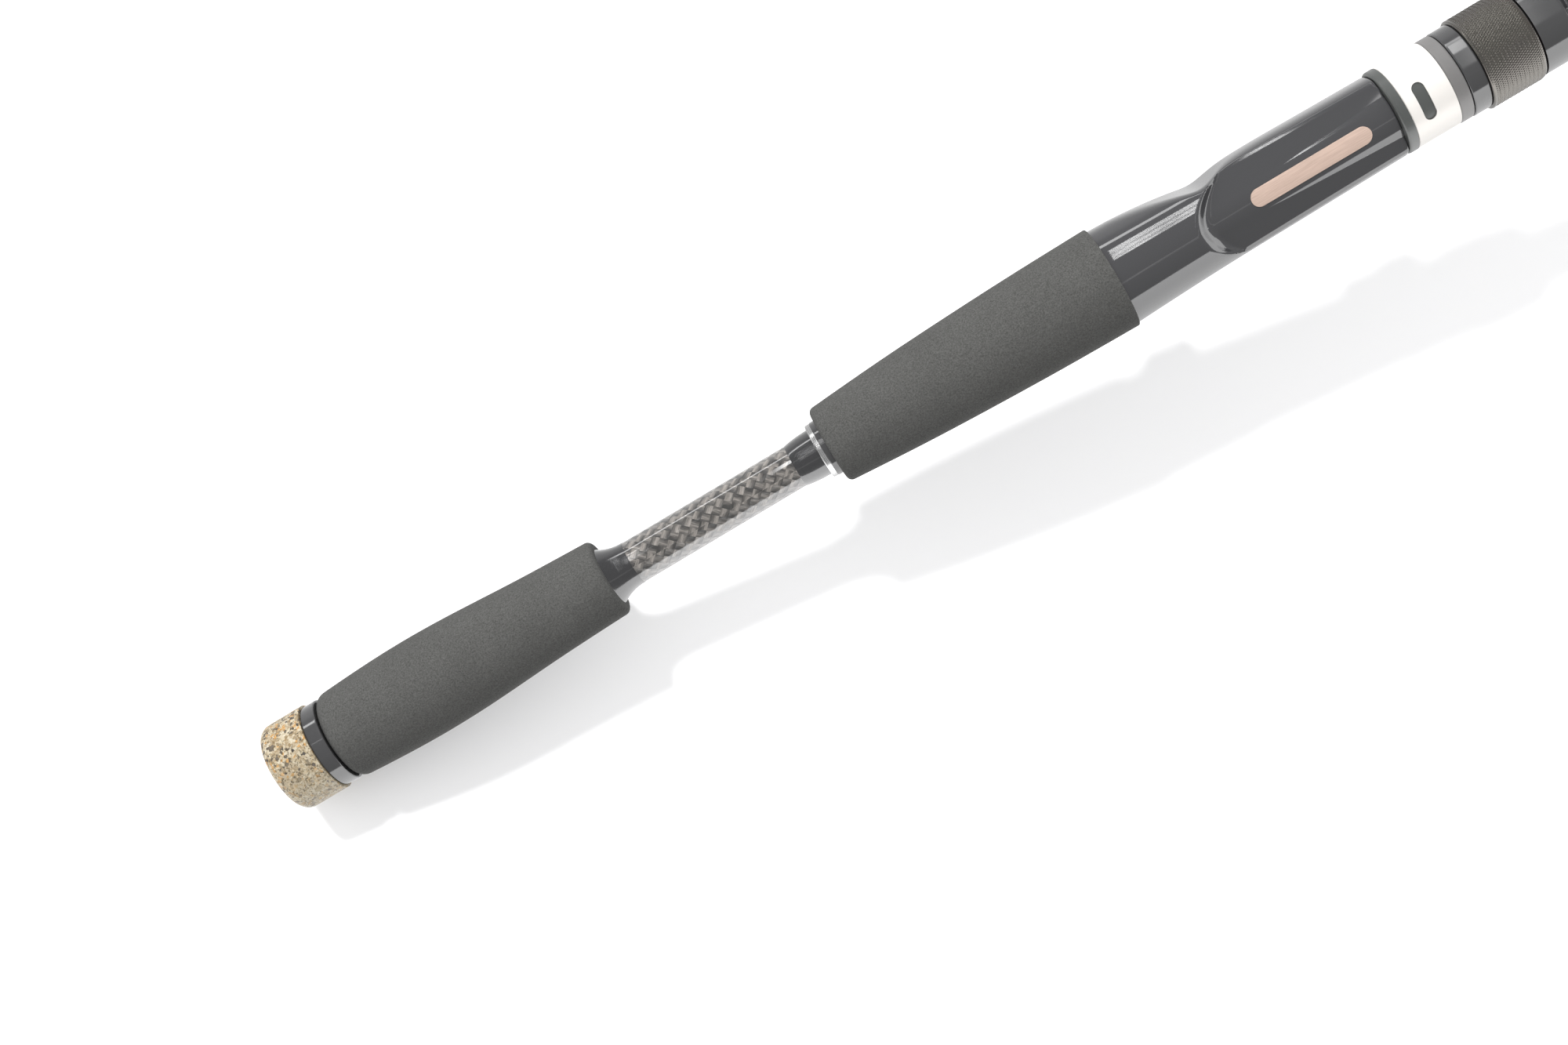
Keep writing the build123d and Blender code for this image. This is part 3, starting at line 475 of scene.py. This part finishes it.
PIANO = gloss_finish("seat_black", (0.032, 0.032, 0.034), 0.05)
BLACK_RING = gloss_finish("gloss_black", (0.032, 0.032, 0.033), 0.08)
LINER = satin_finish("liner_black", (0.042, 0.045, 0.043), 0.38, metallic=0.0)
SATIN = satin_finish("satin_silver", (0.56, 0.54, 0.515), 0.42, metallic=0.15)
GREY_RING = satin_finish("ring_grey", (0.115, 0.112, 0.110), 0.45, metallic=0.1)
SILVER = brushed_finish("silver_ring", (0.32, 0.32, 0.32), 0.24, (4000, 60, 60))
BRONZE = brushed_finish("bronze_plate", (0.39, 0.29, 0.24), 0.36, metallic=0.15)
STEEL = brushed_finish("stainless", (0.60, 0.60, 0.60), 0.30)
GUIDE_STEEL = satin_finish("guide_steel", (0.20, 0.20, 0.21), 0.22)
CERAMIC = gloss_finish("guide_ceramic", (0.035, 0.035, 0.038), 0.05)
ARBOR = satin_finish("arbor_foam", (0.30, 0.29, 0.27), 0.8, metallic=0.0)


def blank_finish():
    made = Finish("blank_graphite", (0.018, 0.018, 0.020), 0.28, Coat_Weight=1.0, Coat_Roughness=0.05)
    lines = made.noise(made.stretched(made.place(), (900, 300, 300)), 1.0, 2.0)
    made.color(made.ramp(lines, [(0.35, (0.014, 0.014, 0.016)), (0.7, (0.030, 0.030, 0.034))]))
    return made.material


GRAPHITE = blank_finish()


# Tones of the weave: dark gaps up to the lightest stops, which carry the painted highlight and painted
# sheen of the tows.
WEAVE_TONES_AND_HIGHLIGHTS = [
    (0.08, (0.014, 0.013, 0.012)),
    (0.34, (0.060, 0.055, 0.050)),
    (0.66, (0.17, 0.155, 0.14)),
]


def tow_fibres(made, across, along):
    """Streaks that run the length of a tow: fine across it, drawn out along it."""
    fine = made.math("MULTIPLY", across, 6.0)
    drawn_out = made.math("MULTIPLY", along, 0.8)
    spot = made.node("ShaderNodeCombineXYZ", {"X": fine, "Y": drawn_out})
    return made.noise(spot.outputs[0], 1.0, 3.0, 0.6)


def weave_finish(turns_around, repeat_mm, around_mm):
    """Two families of slanting tows, each one over, then under the other.

    a and b count the tows of each family. A cell shows one family where floor(a) + floor(b)
    is even and the other where it is odd. Each cell gets a painted highlight at a random place
    along its tow, and the cells of one family get a painted sheen that makes them a little lighter.
    """
    coat = {"Coat_Weight": 1.0, "Coat_Roughness": 0.04, "Coat_IOR": 1.52}
    made = Finish("carbon_weave", (0.2, 0.18, 0.16), 0.32, Specular_IOR_Level=0.35, **coat)
    split = made.node("ShaderNodeSeparateXYZ", {"Vector": made.sheet()})
    u = made.math("MULTIPLY", split.outputs["X"], turns_around / around_mm)
    v = made.math("MULTIPLY", split.outputs["Y"], 1 / repeat_mm)
    a = made.math("ADD", u, v)
    b = made.math("SUBTRACT", u, v)
    cell_a = made.math("FLOOR", a)
    cell_b = made.math("FLOOR", b)
    in_a = made.math("FRACT", a)
    in_b = made.math("FRACT", b)
    over = made.math("MODULO", made.math("ABSOLUTE", made.math("ADD", cell_a, cell_b)), 2.0)
    crown_a = made.math("SINE", made.math("MULTIPLY", in_a, math.pi))
    crown_b = made.math("SINE", made.math("MULTIPLY", in_b, math.pi))
    height = made.math("MULTIPLY", crown_a, crown_b)
    fibres = {"Factor": over, "A": tow_fibres(made, a, b), "B": tow_fibres(made, b, a)}
    fibre = made.node("ShaderNodeMix", fibres).outputs["Result"]
    cell = made.node("ShaderNodeCombineXYZ", {"X": cell_a, "Y": cell_b}).outputs[0]
    chance = made.node("ShaderNodeTexWhiteNoise", {"Vector": cell}).outputs["Value"]
    along = made.node("ShaderNodeMix", {"Factor": over, "A": in_a, "B": in_b})
    # Painted highlight: each cell is lightest at a random place along its tow and darker away from it.
    away = made.math("ABSOLUTE", made.math("SUBTRACT", along.outputs["Result"], chance))
    share = made.math("SUBTRACT", fibre, made.math("MULTIPLY", away, 0.75))
    # Painted sheen: cells of one family are a little lighter, as if their fibres caught more light.
    share = made.math("ADD", share, made.math("MULTIPLY", over, 0.14))
    made.color(made.ramp(share, WEAVE_TONES_AND_HIGHLIGHTS))
    made.bump(made.math("ADD", height, made.math("MULTIPLY", fibre, 0.4)), 0.28, 0.9)
    return made.material


WEAVE = weave_finish(12, 3.45, 2 * math.pi * reach("carbon_sleeve"))
print("finishes", len(bpy.data.materials))

# %% [markdown]
# ## Finishes on the nodes that keep their shape
# Rings, guides, wires and the blank are right as they are. Their object keeps its mesh, and
# only its material slot changes.

# %% Paint the kept nodes
KEPT = {
    "butt_cap": CORK,
    "butt_trim_ring": BLACK_RING,
    "blank_butt": GRAPHITE,
    "blank_tip": GRAPHITE,
    "ferrule_sleeve": GRAPHITE,
    "grip_check": SILVER,
    "grip_collar": BLACK_RING,
    "seat_arbor_rear": ARBOR,
    "seat_arbor_front": ARBOR,
    "fixed_hood_liner": STEEL,
    "seat_label_plate": BRONZE,
    "hood_liner": LINER,
    "hood_shell": SATIN,
    "hood_badge": LINER,
    "hood_trim_ring": GREY_RING,
    "nut_collar": BLACK_RING,
    "nut_front_ring": BLACK_RING,
    "stop_ring": BLACK_RING,
    "fore_check": SILVER,
    "fore_wrap": THREAD,
    "ferrule_wrap_butt": THREAD,
    "ferrule_wrap_tip": THREAD,
    "tip_top_frame": GUIDE_STEEL,
    "tip_top_ring": CERAMIC,
    "tip_top_wrap": THREAD,
}
GUIDE_FINISH = {"frame": GUIDE_STEEL, "ring": CERAMIC, "wraps": THREAD}
for name in nodes:
    if name.startswith("guide_"):
        KEPT[name] = GUIDE_FINISH[name.rsplit("_", 1)[1]]
for name, finish in KEPT.items():
    nodes[name].material_slots[0].material = finish
print("kept nodes", len(KEPT))

# %% [markdown]
# ## The foam grips
# Each grip is one smooth curve through a few measured radii, turned round the axis, with
# rounded ends and a bore for the blank. The curve has no straight part, because the foam is
# ground to fit a hand.

# %% Turn the grips
GRIPS = {
    "rear_grip": ([(0, 13.0), (0.25, 14.15), (0.45, 14.0), (0.7, 12.7), (1, 11.55)], 3.4, 1.7, 6.0),
    "mid_grip": ([(0, 11.45), (0.25, 13.02), (0.5, 14.085), (0.75, 14.795), (1, 15.15)], 1.7, 0.35, 5.9),
    "fore_grip": ([(0, 11.9), (0.5, 10.75), (1, 8.6)], 1.2, 1.2, 5.5),
}


def grip_outline(node, shares, start_round, end_round, bore):
    """Closed outline: the curve between two rounded ends, then back along the bore."""
    start, end = span(node)
    x, r = smooth_curve([(start + share * (end - start), value) for share, value in shares], 120)
    middle = (x > start + start_round + 0.8) & (x < end - end_round - 0.8)
    corners = [(start, r[0], start_round)]
    corners += [(a, b, 0) for a, b in zip(x[middle], r[middle])]
    corners += [(end, r[-1], end_round), (end, bore, 0.2), (start, bore, 0.2)]
    return rounded(corners)


for name, (shares, start_round, end_round, bore) in GRIPS.items():
    outline = grip_outline(name, shares, start_round, end_round, bore)
    grip = turned(name + "_foam", outline[:, 0], outline[:, 1], around=256)
    dress(grip, "handle", FOAM, "eva_foam", name)

# %% [markdown]
# ## The split: woven sleeve and thread wraps
# The sleeve is a plain tube; its weave is in the material. The rear wrap runs out in a hollow
# flare of epoxy where the blank enters the grip, the front one swells a little towards the
# silver check.

# %% Turn the sleeve and the two wraps
SLEEVE_R = reach("carbon_sleeve")


def tube_between(name, node, outer_points, bore, around=160):
    """Closed ring from outer (x, r) points and a straight bore."""
    start, end = outer_points[0][0], outer_points[-1][0]
    outline = rounded([(x, r, 0) for x, r in outer_points] + [(end, bore, 0), (start, bore, 0)])
    return turned(name, outline[:, 0], outline[:, 1], around)


start, end = span("carbon_sleeve")
rows = np.linspace(start, end, 60)
sleeve_rows = [(x, SLEEVE_R - 0.00158 * (x - start)) for x in rows]
skin = tube_between("sleeve_weave", "carbon_sleeve", sleeve_rows, 5.95)
dress(skin, "handle", WEAVE, "carbon_weave", "carbon_sleeve")

start, end = span("split_wrap_rear")
share = np.linspace(0, 1, 60)
top = reach("split_wrap_rear")
flare = SLEEVE_R + 0.1 + (top - SLEEVE_R - 0.1) * (1 - share) ** 2.2
flare += 0.012 * np.cos(2 * np.pi * (end - start) * share / 0.42)
wrap = tube_between("wrap_rear", "split_wrap_rear", list(zip(start + share * (end - start), flare)), 6.1)
dress(wrap, "handle", THREAD, "thread_black", "split_wrap_rear")

start, end = span("split_wrap_front")
top = reach("split_wrap_front")
swell = SLEEVE_R - 0.1 + (top - SLEEVE_R + 0.1) * np.sin(0.5 * np.pi * share) ** 0.7
swell += 0.012 * np.cos(2 * np.pi * (end - start) * share / 0.42)
wrap = tube_between("wrap_front", "split_wrap_front", list(zip(start + share * (end - start), swell)), 6.0)
dress(wrap, "handle", THREAD, "thread_black", "split_wrap_front")

# %% [markdown]
# ## The reel seat
# The seat is moulded, so every edge flows into the next face. A useful way to draw such a
# shape is to ask, for each place along the rod and each angle round it, how far out the skin
# lies: r(x, angle). Each feature gives its own answer. The turned body says one thing, the
# flat flank another, the scoop's floor and its sloping wall a third. The skin takes the
# smallest of the limits, or the largest where something is added, and a soft minimum rounds
# the edge between two features.

# %% Limits of the seat's skin
SEAT_START, _ = span("seat_body")
SEAT_STOP = SEAT_START + 85.4
BARREL_END = span("seat_body")[1]
SEAT_BORE = 7.5
BARREL_CREST = 10.0
SCOOP_HALF = 10.6
SCOOP_REAR = SEAT_START + 25.0
SCOOP_SILL = 3.62
SCOOP_FRONT_R = 12.5
WAIST = SEAT_START + 31.4
FLAT_DEPTH = 10.2
HOOD_MOUTH = SEAT_START + 25.0
HUMP_HALF = 8.1
HUMP_DEPTH = 17.0


def curve_at(stations, x):
    """A smooth curve through stations, read at each x and held level outside them."""
    at, value = smooth_curve(stations, 800)
    return np.interp(x, at, value)


def turned_skin(x):
    """The seat before anything is cut from it, with a rounded nose."""
    middle = [(SEAT_START + 30.7, 13.3), (SEAT_START + 47.0, 13.05)]
    body = curve_at([(SEAT_START, 14.4), *middle, (SEAT_STOP, 12.5)], x)
    into_nose = np.clip(x - (SEAT_STOP - 0.9), 0, 0.9)
    return body - (0.9 - np.sqrt(0.81 - into_nose**2))


def flank_limit(x, sine):
    """Distance out to the waisted flank on the +Y side."""
    behind = [(-25.4, 14.75), (-12.5, 12.4), (-4.5, 10.65), (0, 9.9)]
    ahead = [(4.1, 10.6), (8.5, 11.7), (14, 12.3), (30, 12.25), (55, 11.8)]
    half_width = curve_at([(WAIST + a, b) for a, b in behind + ahead], x)
    return np.where(sine > 0.15, half_width / np.maximum(sine, 0.15), 99.0)


def scoop_floor(x, sine, cosine):
    """Distance out to the scoop's floor: the round rib, then a straight slope to the rim."""
    rib_half = 2.8 + (6.2 - 2.8) * np.clip((x - SCOOP_REAR + 2) / 63.4, 0, 1)
    rib_edge = np.sqrt(BARREL_CREST**2 - rib_half**2)
    rim_edge = np.sqrt(SCOOP_FRONT_R**2 - SCOOP_HALF**2)
    fall = (rib_edge - rim_edge) / (SCOOP_HALF - rib_half)
    slope = (rib_edge + fall * rib_half) / np.maximum(cosine + fall * np.abs(sine), 0.02)
    off_rib = BARREL_CREST * np.abs(sine) - rib_half
    share = np.clip(0.5 + off_rib / 0.5, 0, 1)
    share = share * share * (3 - 2 * share)
    return np.where(cosine > 0.05, BARREL_CREST * (1 - share) + np.minimum(slope, 60.0) * share, 60.0)


def plan_distance(x, y):
    """Signed distance from the scoop's U-shaped plan, whose two corners differ in radius."""
    heel = SCOOP_REAR + 13.15 - SCOOP_SILL
    half = SCOOP_HALF - 0.2
    corner = np.where(y > 0, 12.0, 5.5)
    corner = np.minimum(corner, half + 1.4)
    dx = heel + corner - x
    dy = np.abs(y) - (half - corner)
    outside = np.hypot(np.maximum(dx, 0), np.maximum(dy, 0)) - corner
    return outside + np.minimum(np.maximum(dx, dy), 0)


def scoop_wall(x, sine, cosine, low, high):
    """Distance out to the wall that rises one for one from the plan, found by halving."""
    low = low.copy()
    high = np.broadcast_to(high, low.shape).copy()
    for _ in range(22):
        middle = 0.5 * (low + high)
        above = middle * cosine > SCOOP_SILL + plan_distance(x, middle * sine)
        high = np.where(above, middle, high)
        low = np.where(above, low, middle)
    return 0.5 * (low + high)


def hump_limit(x, sine, cosine):
    """Distance out to the swelling of the fixed hood: a rounded box under the rod."""
    depth = HUMP_DEPTH - 0.92 * np.maximum(SEAT_START + 10.0 - x, 0)
    side = HUMP_HALF / np.maximum(np.abs(sine), 0.02)
    bottom = depth / np.maximum(-cosine, 0.02)
    reach_out = soft_min(side, bottom, 4.0)
    return np.where((cosine < -0.1) & (x < HOOD_MOUTH) & (x > SEAT_START + 4), reach_out, 0.0)


def seat_radius(x, angle):
    """The seat's skin: soft minimum and maximum of all its features."""
    sine, cosine = np.sin(angle), np.cos(angle)
    skin = turned_skin(x)
    skin = soft_min(skin + 0 * angle, flank_limit(x, sine), 1.2)
    floor = scoop_floor(x, sine, cosine)
    wall = scoop_wall(x, sine, cosine, np.full(skin.shape, 5.0), 16.0)
    wall = np.where(cosine > 0.1, wall, 60.0)
    scoop = soft_max(floor, wall, 1.4)
    skin = soft_min(skin, scoop, 0.75)
    skin = np.maximum(skin, hump_limit(x, sine, cosine))
    flat = np.where((cosine < -0.1) & (x >= HOOD_MOUTH), FLAT_DEPTH / np.maximum(-cosine, 0.1), 99.0)
    return np.minimum(skin, flat)


def dense_rows(stops):
    """Places along the rod, from (end, step) pairs, finer where the shape turns fast."""
    out = [np.array([SEAT_START])]
    here = SEAT_START
    for stop, step in stops:
        count = max(int(round((stop - here) / step)), 1)
        out.append(np.linspace(here, stop, count + 1)[1:])
        here = stop
    return np.concatenate(out)


print("scoop's wall starts at", round(SCOOP_REAR, 1))

# %% [markdown]
# The grid has a row for each place along the rod. Where the fixed hood ends, the skin jumps
# from the hood's face to the reel foot's flat. Two rows at nearly the same place make that
# step a clean upright face.

# %% Build the seat
AROUND_SEAT = 440
rows = dense_rows([
    (SEAT_START + 22, 0.8), (HOOD_MOUTH - 0.001, 0.4), (HOOD_MOUTH, 0.01), (SEAT_START + 44, 0.35),
    (SEAT_STOP - 1.0, 0.8), (SEAT_STOP, 0.12),
])
angle = np.linspace(0, 2 * np.pi, AROUND_SEAT, endpoint=False)
skin = seat_radius(rows[:, None], angle[None, :])
skin[0] = skin[1]
inner_rows = np.array([SEAT_STOP, SEAT_START])
inner = np.full((2, AROUND_SEAT), SEAT_BORE)
seat = turned("seat_shell", np.concatenate((rows, inner_rows)), np.concatenate((skin, inner)), AROUND_SEAT)


def rounded_box(name, x_span, half_width, z_span, rounding):
    """Closed box along the rod with its two lower long edges rounded, used as a cutter."""
    turn = np.linspace(0, 0.5 * np.pi, 9)
    low, high = z_span
    right_y = half_width - rounding + rounding * np.cos(turn)
    right_z = low + rounding - rounding * np.sin(turn)
    y = np.concatenate(([half_width], right_y, -right_y[::-1], [-half_width]))
    z = np.concatenate(([high], right_z, right_z[::-1], [high]))
    count = len(y)
    ends = [np.stack((np.full(count, x), y, z), axis=-1) for x in x_span]
    points = np.concatenate(ends)
    here = np.arange(count)
    there = (here + 1) % count
    sides = np.stack((here, here + count, there + count, there), axis=-1)
    mesh = bpy.data.meshes.new(name)
    caps = [here.tolist(), (here[::-1] + count).tolist()]
    mesh.from_pydata((points * MM).tolist(), [], sides.tolist() + caps)
    box = bpy.data.objects.new(name, mesh)
    bpy.context.scene.collection.objects.link(box)
    return box


def cut_away(piece, cutter):
    """Subtract a cutter, keep the result as the piece's own mesh and delete the cutter."""
    cut = piece.modifiers.new("cut", "BOOLEAN")
    cut.object = cutter
    cut.operation = "DIFFERENCE"
    cut.solver = "EXACT"
    bpy.context.view_layer.update()
    shaped = bpy.data.meshes.new_from_object(piece.evaluated_get(bpy.context.evaluated_depsgraph_get()))
    piece.modifiers.clear()
    piece.data = shaped
    bpy.data.objects.remove(cutter)


pocket = rounded_box("pocket", (HOOD_MOUTH - 14.0, HOOD_MOUTH + 1.0), 7.0, (-15.9, -FLAT_DEPTH), 3.0)
cut_away(seat, pocket)
seat.data.set_sharp_from_angle(angle=math.radians(50))
dress(seat, "handle", PIANO, "seat_black", "seat_body")

# %% [markdown]
# ## The screw thread
# A thread is the same trick: the radius rises and falls with x minus the angle's share of one
# pitch, so the crest climbs one pitch each turn. A flat keyway on top keeps the hood from
# turning.

# %% Build the threaded barrel
THREAD_PITCH = 2.0
THREAD_DEPTH = 0.55
KEY_HALF = 1.5
KEY_FLOOR = 9.0


def thread_radius(x, angle):
    """Trapezium thread that fades in and out, with the keyway cut on the +Z side."""
    turn = np.mod((x - SEAT_STOP) / THREAD_PITCH - angle / (2 * np.pi), 1.0)
    wave = np.clip(1.5 - 4 * np.abs(turn - 0.5), 0, 1)
    fade = np.clip((x - SEAT_STOP - 1.5) / 1.5, 0, 1) * np.clip((BARREL_END - 2.0 - x) / 1.5, 0, 1)
    thread = BARREL_CREST - THREAD_DEPTH + THREAD_DEPTH * wave * fade
    in_key = (np.abs(thread * np.sin(angle)) < KEY_HALF) & (np.cos(angle) > 0) & (x < BARREL_END - 2)
    return np.where(in_key, KEY_FLOOR / np.maximum(np.cos(angle), 0.5), thread)


rows = np.arange(SEAT_STOP - 1.0, BARREL_END + 0.01, 0.25)
angle = np.linspace(0, 2 * np.pi, 150, endpoint=False)
thread = thread_radius(rows[:, None], angle[None, :])
ends = np.array([BARREL_END, SEAT_STOP - 1.0])
grid = np.concatenate((thread, np.full((2, 150), SEAT_BORE)))
barrel = turned("seat_thread", np.concatenate((rows, ends)), grid, 150, crease=math.radians(60))
dress(barrel, "handle", PIANO, "seat_black", "seat_body")

# %% [markdown]
# ## The knurled nut
# Two families of slanting grooves cross and leave small four-sided points. The height at a
# place is the smaller of two triangle waves, one for each family. Five grid steps for each
# point are enough for the light to catch its faces.

# %% Build the knurl
KNURL_AROUND = 112
KNURL_DEPTH = 0.26
STEPS = 5


def triangle(value):
    """Triangle wave from 0 to 1 and back over each whole number."""
    return 1 - 2 * np.abs(np.mod(value, 1.0) - 0.5)


def knurl_radius(x, angle, start, end, crest):
    """Crest radius less two families of grooves, faded where the rims are rounded."""
    around = angle / (2 * np.pi) * KNURL_AROUND
    along = (x - start) * KNURL_AROUND / (2 * np.pi * crest) * 0.6
    height = np.minimum(triangle(around + along), triangle(around - along))
    front = np.clip(x - (end - 1.9), 0, 1.9)
    rear = np.clip(start + 0.5 - x, 0, 0.5)
    rim = (1.9 - np.sqrt(3.61 - front**2)) + (0.5 - np.sqrt(0.25 - rear**2))
    keep = np.clip((end - 0.5 - x) / 0.8, 0, 1) * np.clip((x - start - 0.5) / 0.4, 0, 1)
    return crest - rim - KNURL_DEPTH * (1 - height) * keep


start, end = span("lock_nut")
crest = reach("lock_nut")
rim_rows = end - 1.9 + 1.9 * np.sin(np.linspace(0, 0.5 * np.pi, 16))
rows = np.concatenate((np.linspace(start, end - 1.9, 96), rim_rows[1:]))
angle = np.linspace(0, 2 * np.pi, KNURL_AROUND * STEPS, endpoint=False)
knurl = knurl_radius(rows[:, None], angle[None, :], start, end, crest)
ends = np.array([end, start])
grid = np.concatenate((knurl, np.full((2, len(angle)), 10.05)))
nut = turned("nut_knurl", np.concatenate((rows, ends)), grid, len(angle), crease=math.radians(180))
KNURL = satin_finish("knurl_black", (0.082, 0.077, 0.070), 0.22, metallic=0.85)
dress(nut, "lock_nut", KNURL, "knurl_black", "lock_nut")

# %% [markdown]
# ## The studio
# A white table runs out of sight. The rod's butt rests on it and its front is propped on a
# foam block out of view, so its shadow starts at the butt and leaves the rod
# further on. The table itself isn't mirrored: what polished parts show is drawn in the
# surroundings of the next step.

# %% Table and prop
TABLE_RISE = math.radians(10.0)
BUTT_R = reach("butt_cap")
PROP_AT = 640.0


def card(name, corners, finish):
    """A flat four-cornered panel from corners in metres, part of the studio only."""
    mesh = bpy.data.meshes.new(name)
    mesh.from_pydata([tuple(c) for c in corners], [], [tuple(range(len(corners)))])
    mesh.materials.append(finish)
    panel = bpy.data.objects.new(name, mesh)
    bpy.context.scene.collection.objects.link(panel)
    return panel


TABLE_WHITE = Finish("table_white", (0.90, 0.90, 0.905), 1.0).material
slope = Vector((math.cos(TABLE_RISE), 0, -math.sin(TABLE_RISE)))
normal = Vector((math.sin(TABLE_RISE), 0, math.cos(TABLE_RISE)))
contact = -normal * BUTT_R * MM
side = Vector((0, 1, 0))
REACH = 6.0
signs = ((-1, -1), (1, -1), (1, 1), (-1, 1))
table = card("table", [contact + a * REACH * slope + b * REACH * side for a, b in signs], TABLE_WHITE)
table.visible_glossy = False
print("table under the butt", round(contact.z / MM, 1), "mm")


def prop_block(start, end, half_width):
    """Foam block between the table and the underside of the blank."""
    top = -(6.2 - 0.00158 * start) * MM - 0.0001
    base = [contact.z - math.tan(TABLE_RISE) * x * MM for x in (start, end)]
    columns = [(x, y, low) for x, low in zip((start, end), base) for y in (-half_width, half_width)]
    points = [(x * MM, y * MM, z) for x, y, low in columns for z in (low, top)]
    faces = [(0, 1, 3, 2), (4, 6, 7, 5), (0, 4, 5, 1), (2, 3, 7, 6), (1, 5, 7, 3), (0, 2, 6, 4)]
    mesh = bpy.data.meshes.new("prop")
    mesh.from_pydata(points, [], faces)
    mesh.materials.append(TABLE_WHITE)
    block = bpy.data.objects.new("prop", mesh)
    bpy.context.scene.collection.objects.link(block)
    return block


prop_block(PROP_AT - 15, PROP_AT + 15, 30)

# %% [markdown]
# ## Light
# One distant lamp high on the +Y side throws the shadow. The surroundings are split in two:
# matte surfaces are lit evenly, while polished surfaces mirror a dark ceiling, a window, a
# few thin tubes and a very bright table on the near side. On a straight cylinder the place
# of a mirrored thing depends only on its angle from straight up, measured round the rod, so
# the whole pattern is written in terms of that angle and of the direction along the rod.

# %% Lamp and helpers for the surroundings
LAMP = 3.2


def lamp(name, direction, strength, spread_deg):
    """A distant lamp that shines along direction and isn't mirrored itself."""
    data = bpy.data.lights.new(name, "SUN")
    data.energy = strength
    data.angle = math.radians(spread_deg)
    made = bpy.data.objects.new(name, data)
    made.rotation_euler = Vector(direction).to_track_quat("-Z", "Y").to_euler()
    made.visible_glossy = False
    bpy.context.scene.collection.objects.link(made)
    return made


lamp("key", (-0.10, -0.69, -0.71), LAMP, 5)

world = bpy.data.worlds.new("studio")
world.use_nodes = True
bpy.context.scene.world = world
sky = world.node_tree


def sky_node(kind, *values, **settings):
    """Add a node to the surroundings and plug in its first inputs."""
    made = sky.nodes.new(kind)
    for key, value in settings.items():
        setattr(made, key, value)
    for socket, value in zip(made.inputs, values):
        if isinstance(value, bpy.types.NodeSocket):
            sky.links.new(value, socket)
        else:
            socket.default_value = value
    return made.outputs[0]


def sky_math(operation, *values):
    return sky_node("ShaderNodeMath", *values, operation=operation)


def fade(value, low, high):
    """0 at low and 1 at high, with a smooth change between, in either order."""
    made = sky.nodes.new("ShaderNodeMapRange")
    made.interpolation_type = "SMOOTHSTEP"
    sky.links.new(value, made.inputs["Value"])
    made.inputs["From Min"].default_value = low
    made.inputs["From Max"].default_value = high
    return made.outputs["Result"]


def band(value, low, high, soft):
    """1 between low and high, fading over soft on both sides."""
    return sky_math("MULTIPLY", fade(value, low - soft, low), fade(value, high + soft, high))


def glow(strength, *shares):
    """Product of a strength and of every share, as one light in the surroundings."""
    value = strength
    for share in shares:
        value = sky_math("MULTIPLY", share, value)
    return value


def speckled(vector, scale, low, high):
    """0 or 1 in ragged spots, with a narrow soft edge."""
    spots = sky_node("ShaderNodeTexNoise", vector)
    spots.node.inputs["Scale"].default_value = scale
    return fade(spots, low, high)


# %% [markdown]
# ### What polished parts mirror
# tilt is the angle round the rod in degrees: 0 is straight up, 90 is level on the +Y side
# and -90 is level on the -Y side. toward_x is how far a direction leans toward the tip, from
# -1 to 1. Each line of the list is one thing to mirror: its brightness, then where it is.

# %% Surroundings
AMBIENT = 1.14
SIDE_LIGHT = 0.75
MIRROR_DARK = 0.75
direction = sky.nodes.new("ShaderNodeTexCoord").outputs["Generated"]
split = sky.nodes.new("ShaderNodeSeparateXYZ")
sky.links.new(direction, split.inputs[0])
toward_x, toward_y, toward_z = split.outputs
tilt = sky_math("DEGREES", sky_math("ARCTAN2", toward_y, toward_z))
packed = sky_node("ShaderNodeVectorMath", direction, (110, 1, 1), operation="MULTIPLY")
patch = speckled(packed, 9, 0.47, 0.50)
specks = speckled(direction, 60, 0.54, 0.58)
dashes = speckled(direction, 60, 0.50, 0.54)
faint_dashes = speckled(direction, 60, 0.46, 0.54)
near_table = sky_math("MULTIPLY_ADD", toward_z, 3.0, 3.6)
under_table = sky_math("MULTIPLY_ADD", toward_z, 4.0, 3.8)
table_level = sky_math("MAXIMUM", sky_math("MINIMUM", near_table, under_table), 0.3)
lights = [
    # the bright table on the near side, and a dim one on the far side
    glow(table_level, fade(tilt, -56, -59)),
    glow(0.5, fade(tilt, 95, 110)),
    # a long tube near the horizon
    glow(9.0, band(tilt, 82, 87, 1.5), fade(toward_x, 0.45, 0.10)),
    # windows, each where one polished part mirrors it: seat, nut collar, knurl, two wraps
    glow(24.0, band(toward_x, 0.176, 0.194, 0.002), band(tilt, 42, 66, 2), patch),
    glow(16.0, band(toward_x, 0.253, 0.262, 0.003), band(tilt, 55, 76, 6)),
    glow(5.0, band(toward_x, 0.268, 0.285, 0.004), band(tilt, 15, 80, 10)),
    glow(20.0, band(toward_x, -0.190, -0.140, 0.004), band(tilt, 20, 60, 3), specks),
    glow(16.0, band(toward_x, -0.066, -0.054, 0.003), band(tilt, 36, 50, 3)),
    # two thin dashed tubes overhead
    glow(9.0, band(tilt, 31, 31.5, 0.7), fade(toward_x, 0.05, 0.0), dashes),
    glow(1.6, band(tilt, -13, -11, 1.5), faint_dashes),
]
mirrored = MIRROR_DARK
for light in lights:
    mirrored = sky_math("ADD", light, mirrored)
is_mirror = sky.nodes.new("ShaderNodeLightPath").outputs["Is Glossy Ray"]
strength = sky_node("ShaderNodeMix", is_mirror)
sky.links.new(sky_math("MULTIPLY_ADD", toward_y, SIDE_LIGHT, AMBIENT), strength.node.inputs["A"])
sky.links.new(mirrored, strength.node.inputs["B"])
sky.links.new(strength, sky.nodes["Background"].inputs["Strength"])
sky.nodes["Background"].inputs["Color"].default_value = (1, 1, 1, 1)
bpy.context.scene.view_settings.view_transform = "Standard"
print("lights mirrored", len(lights))
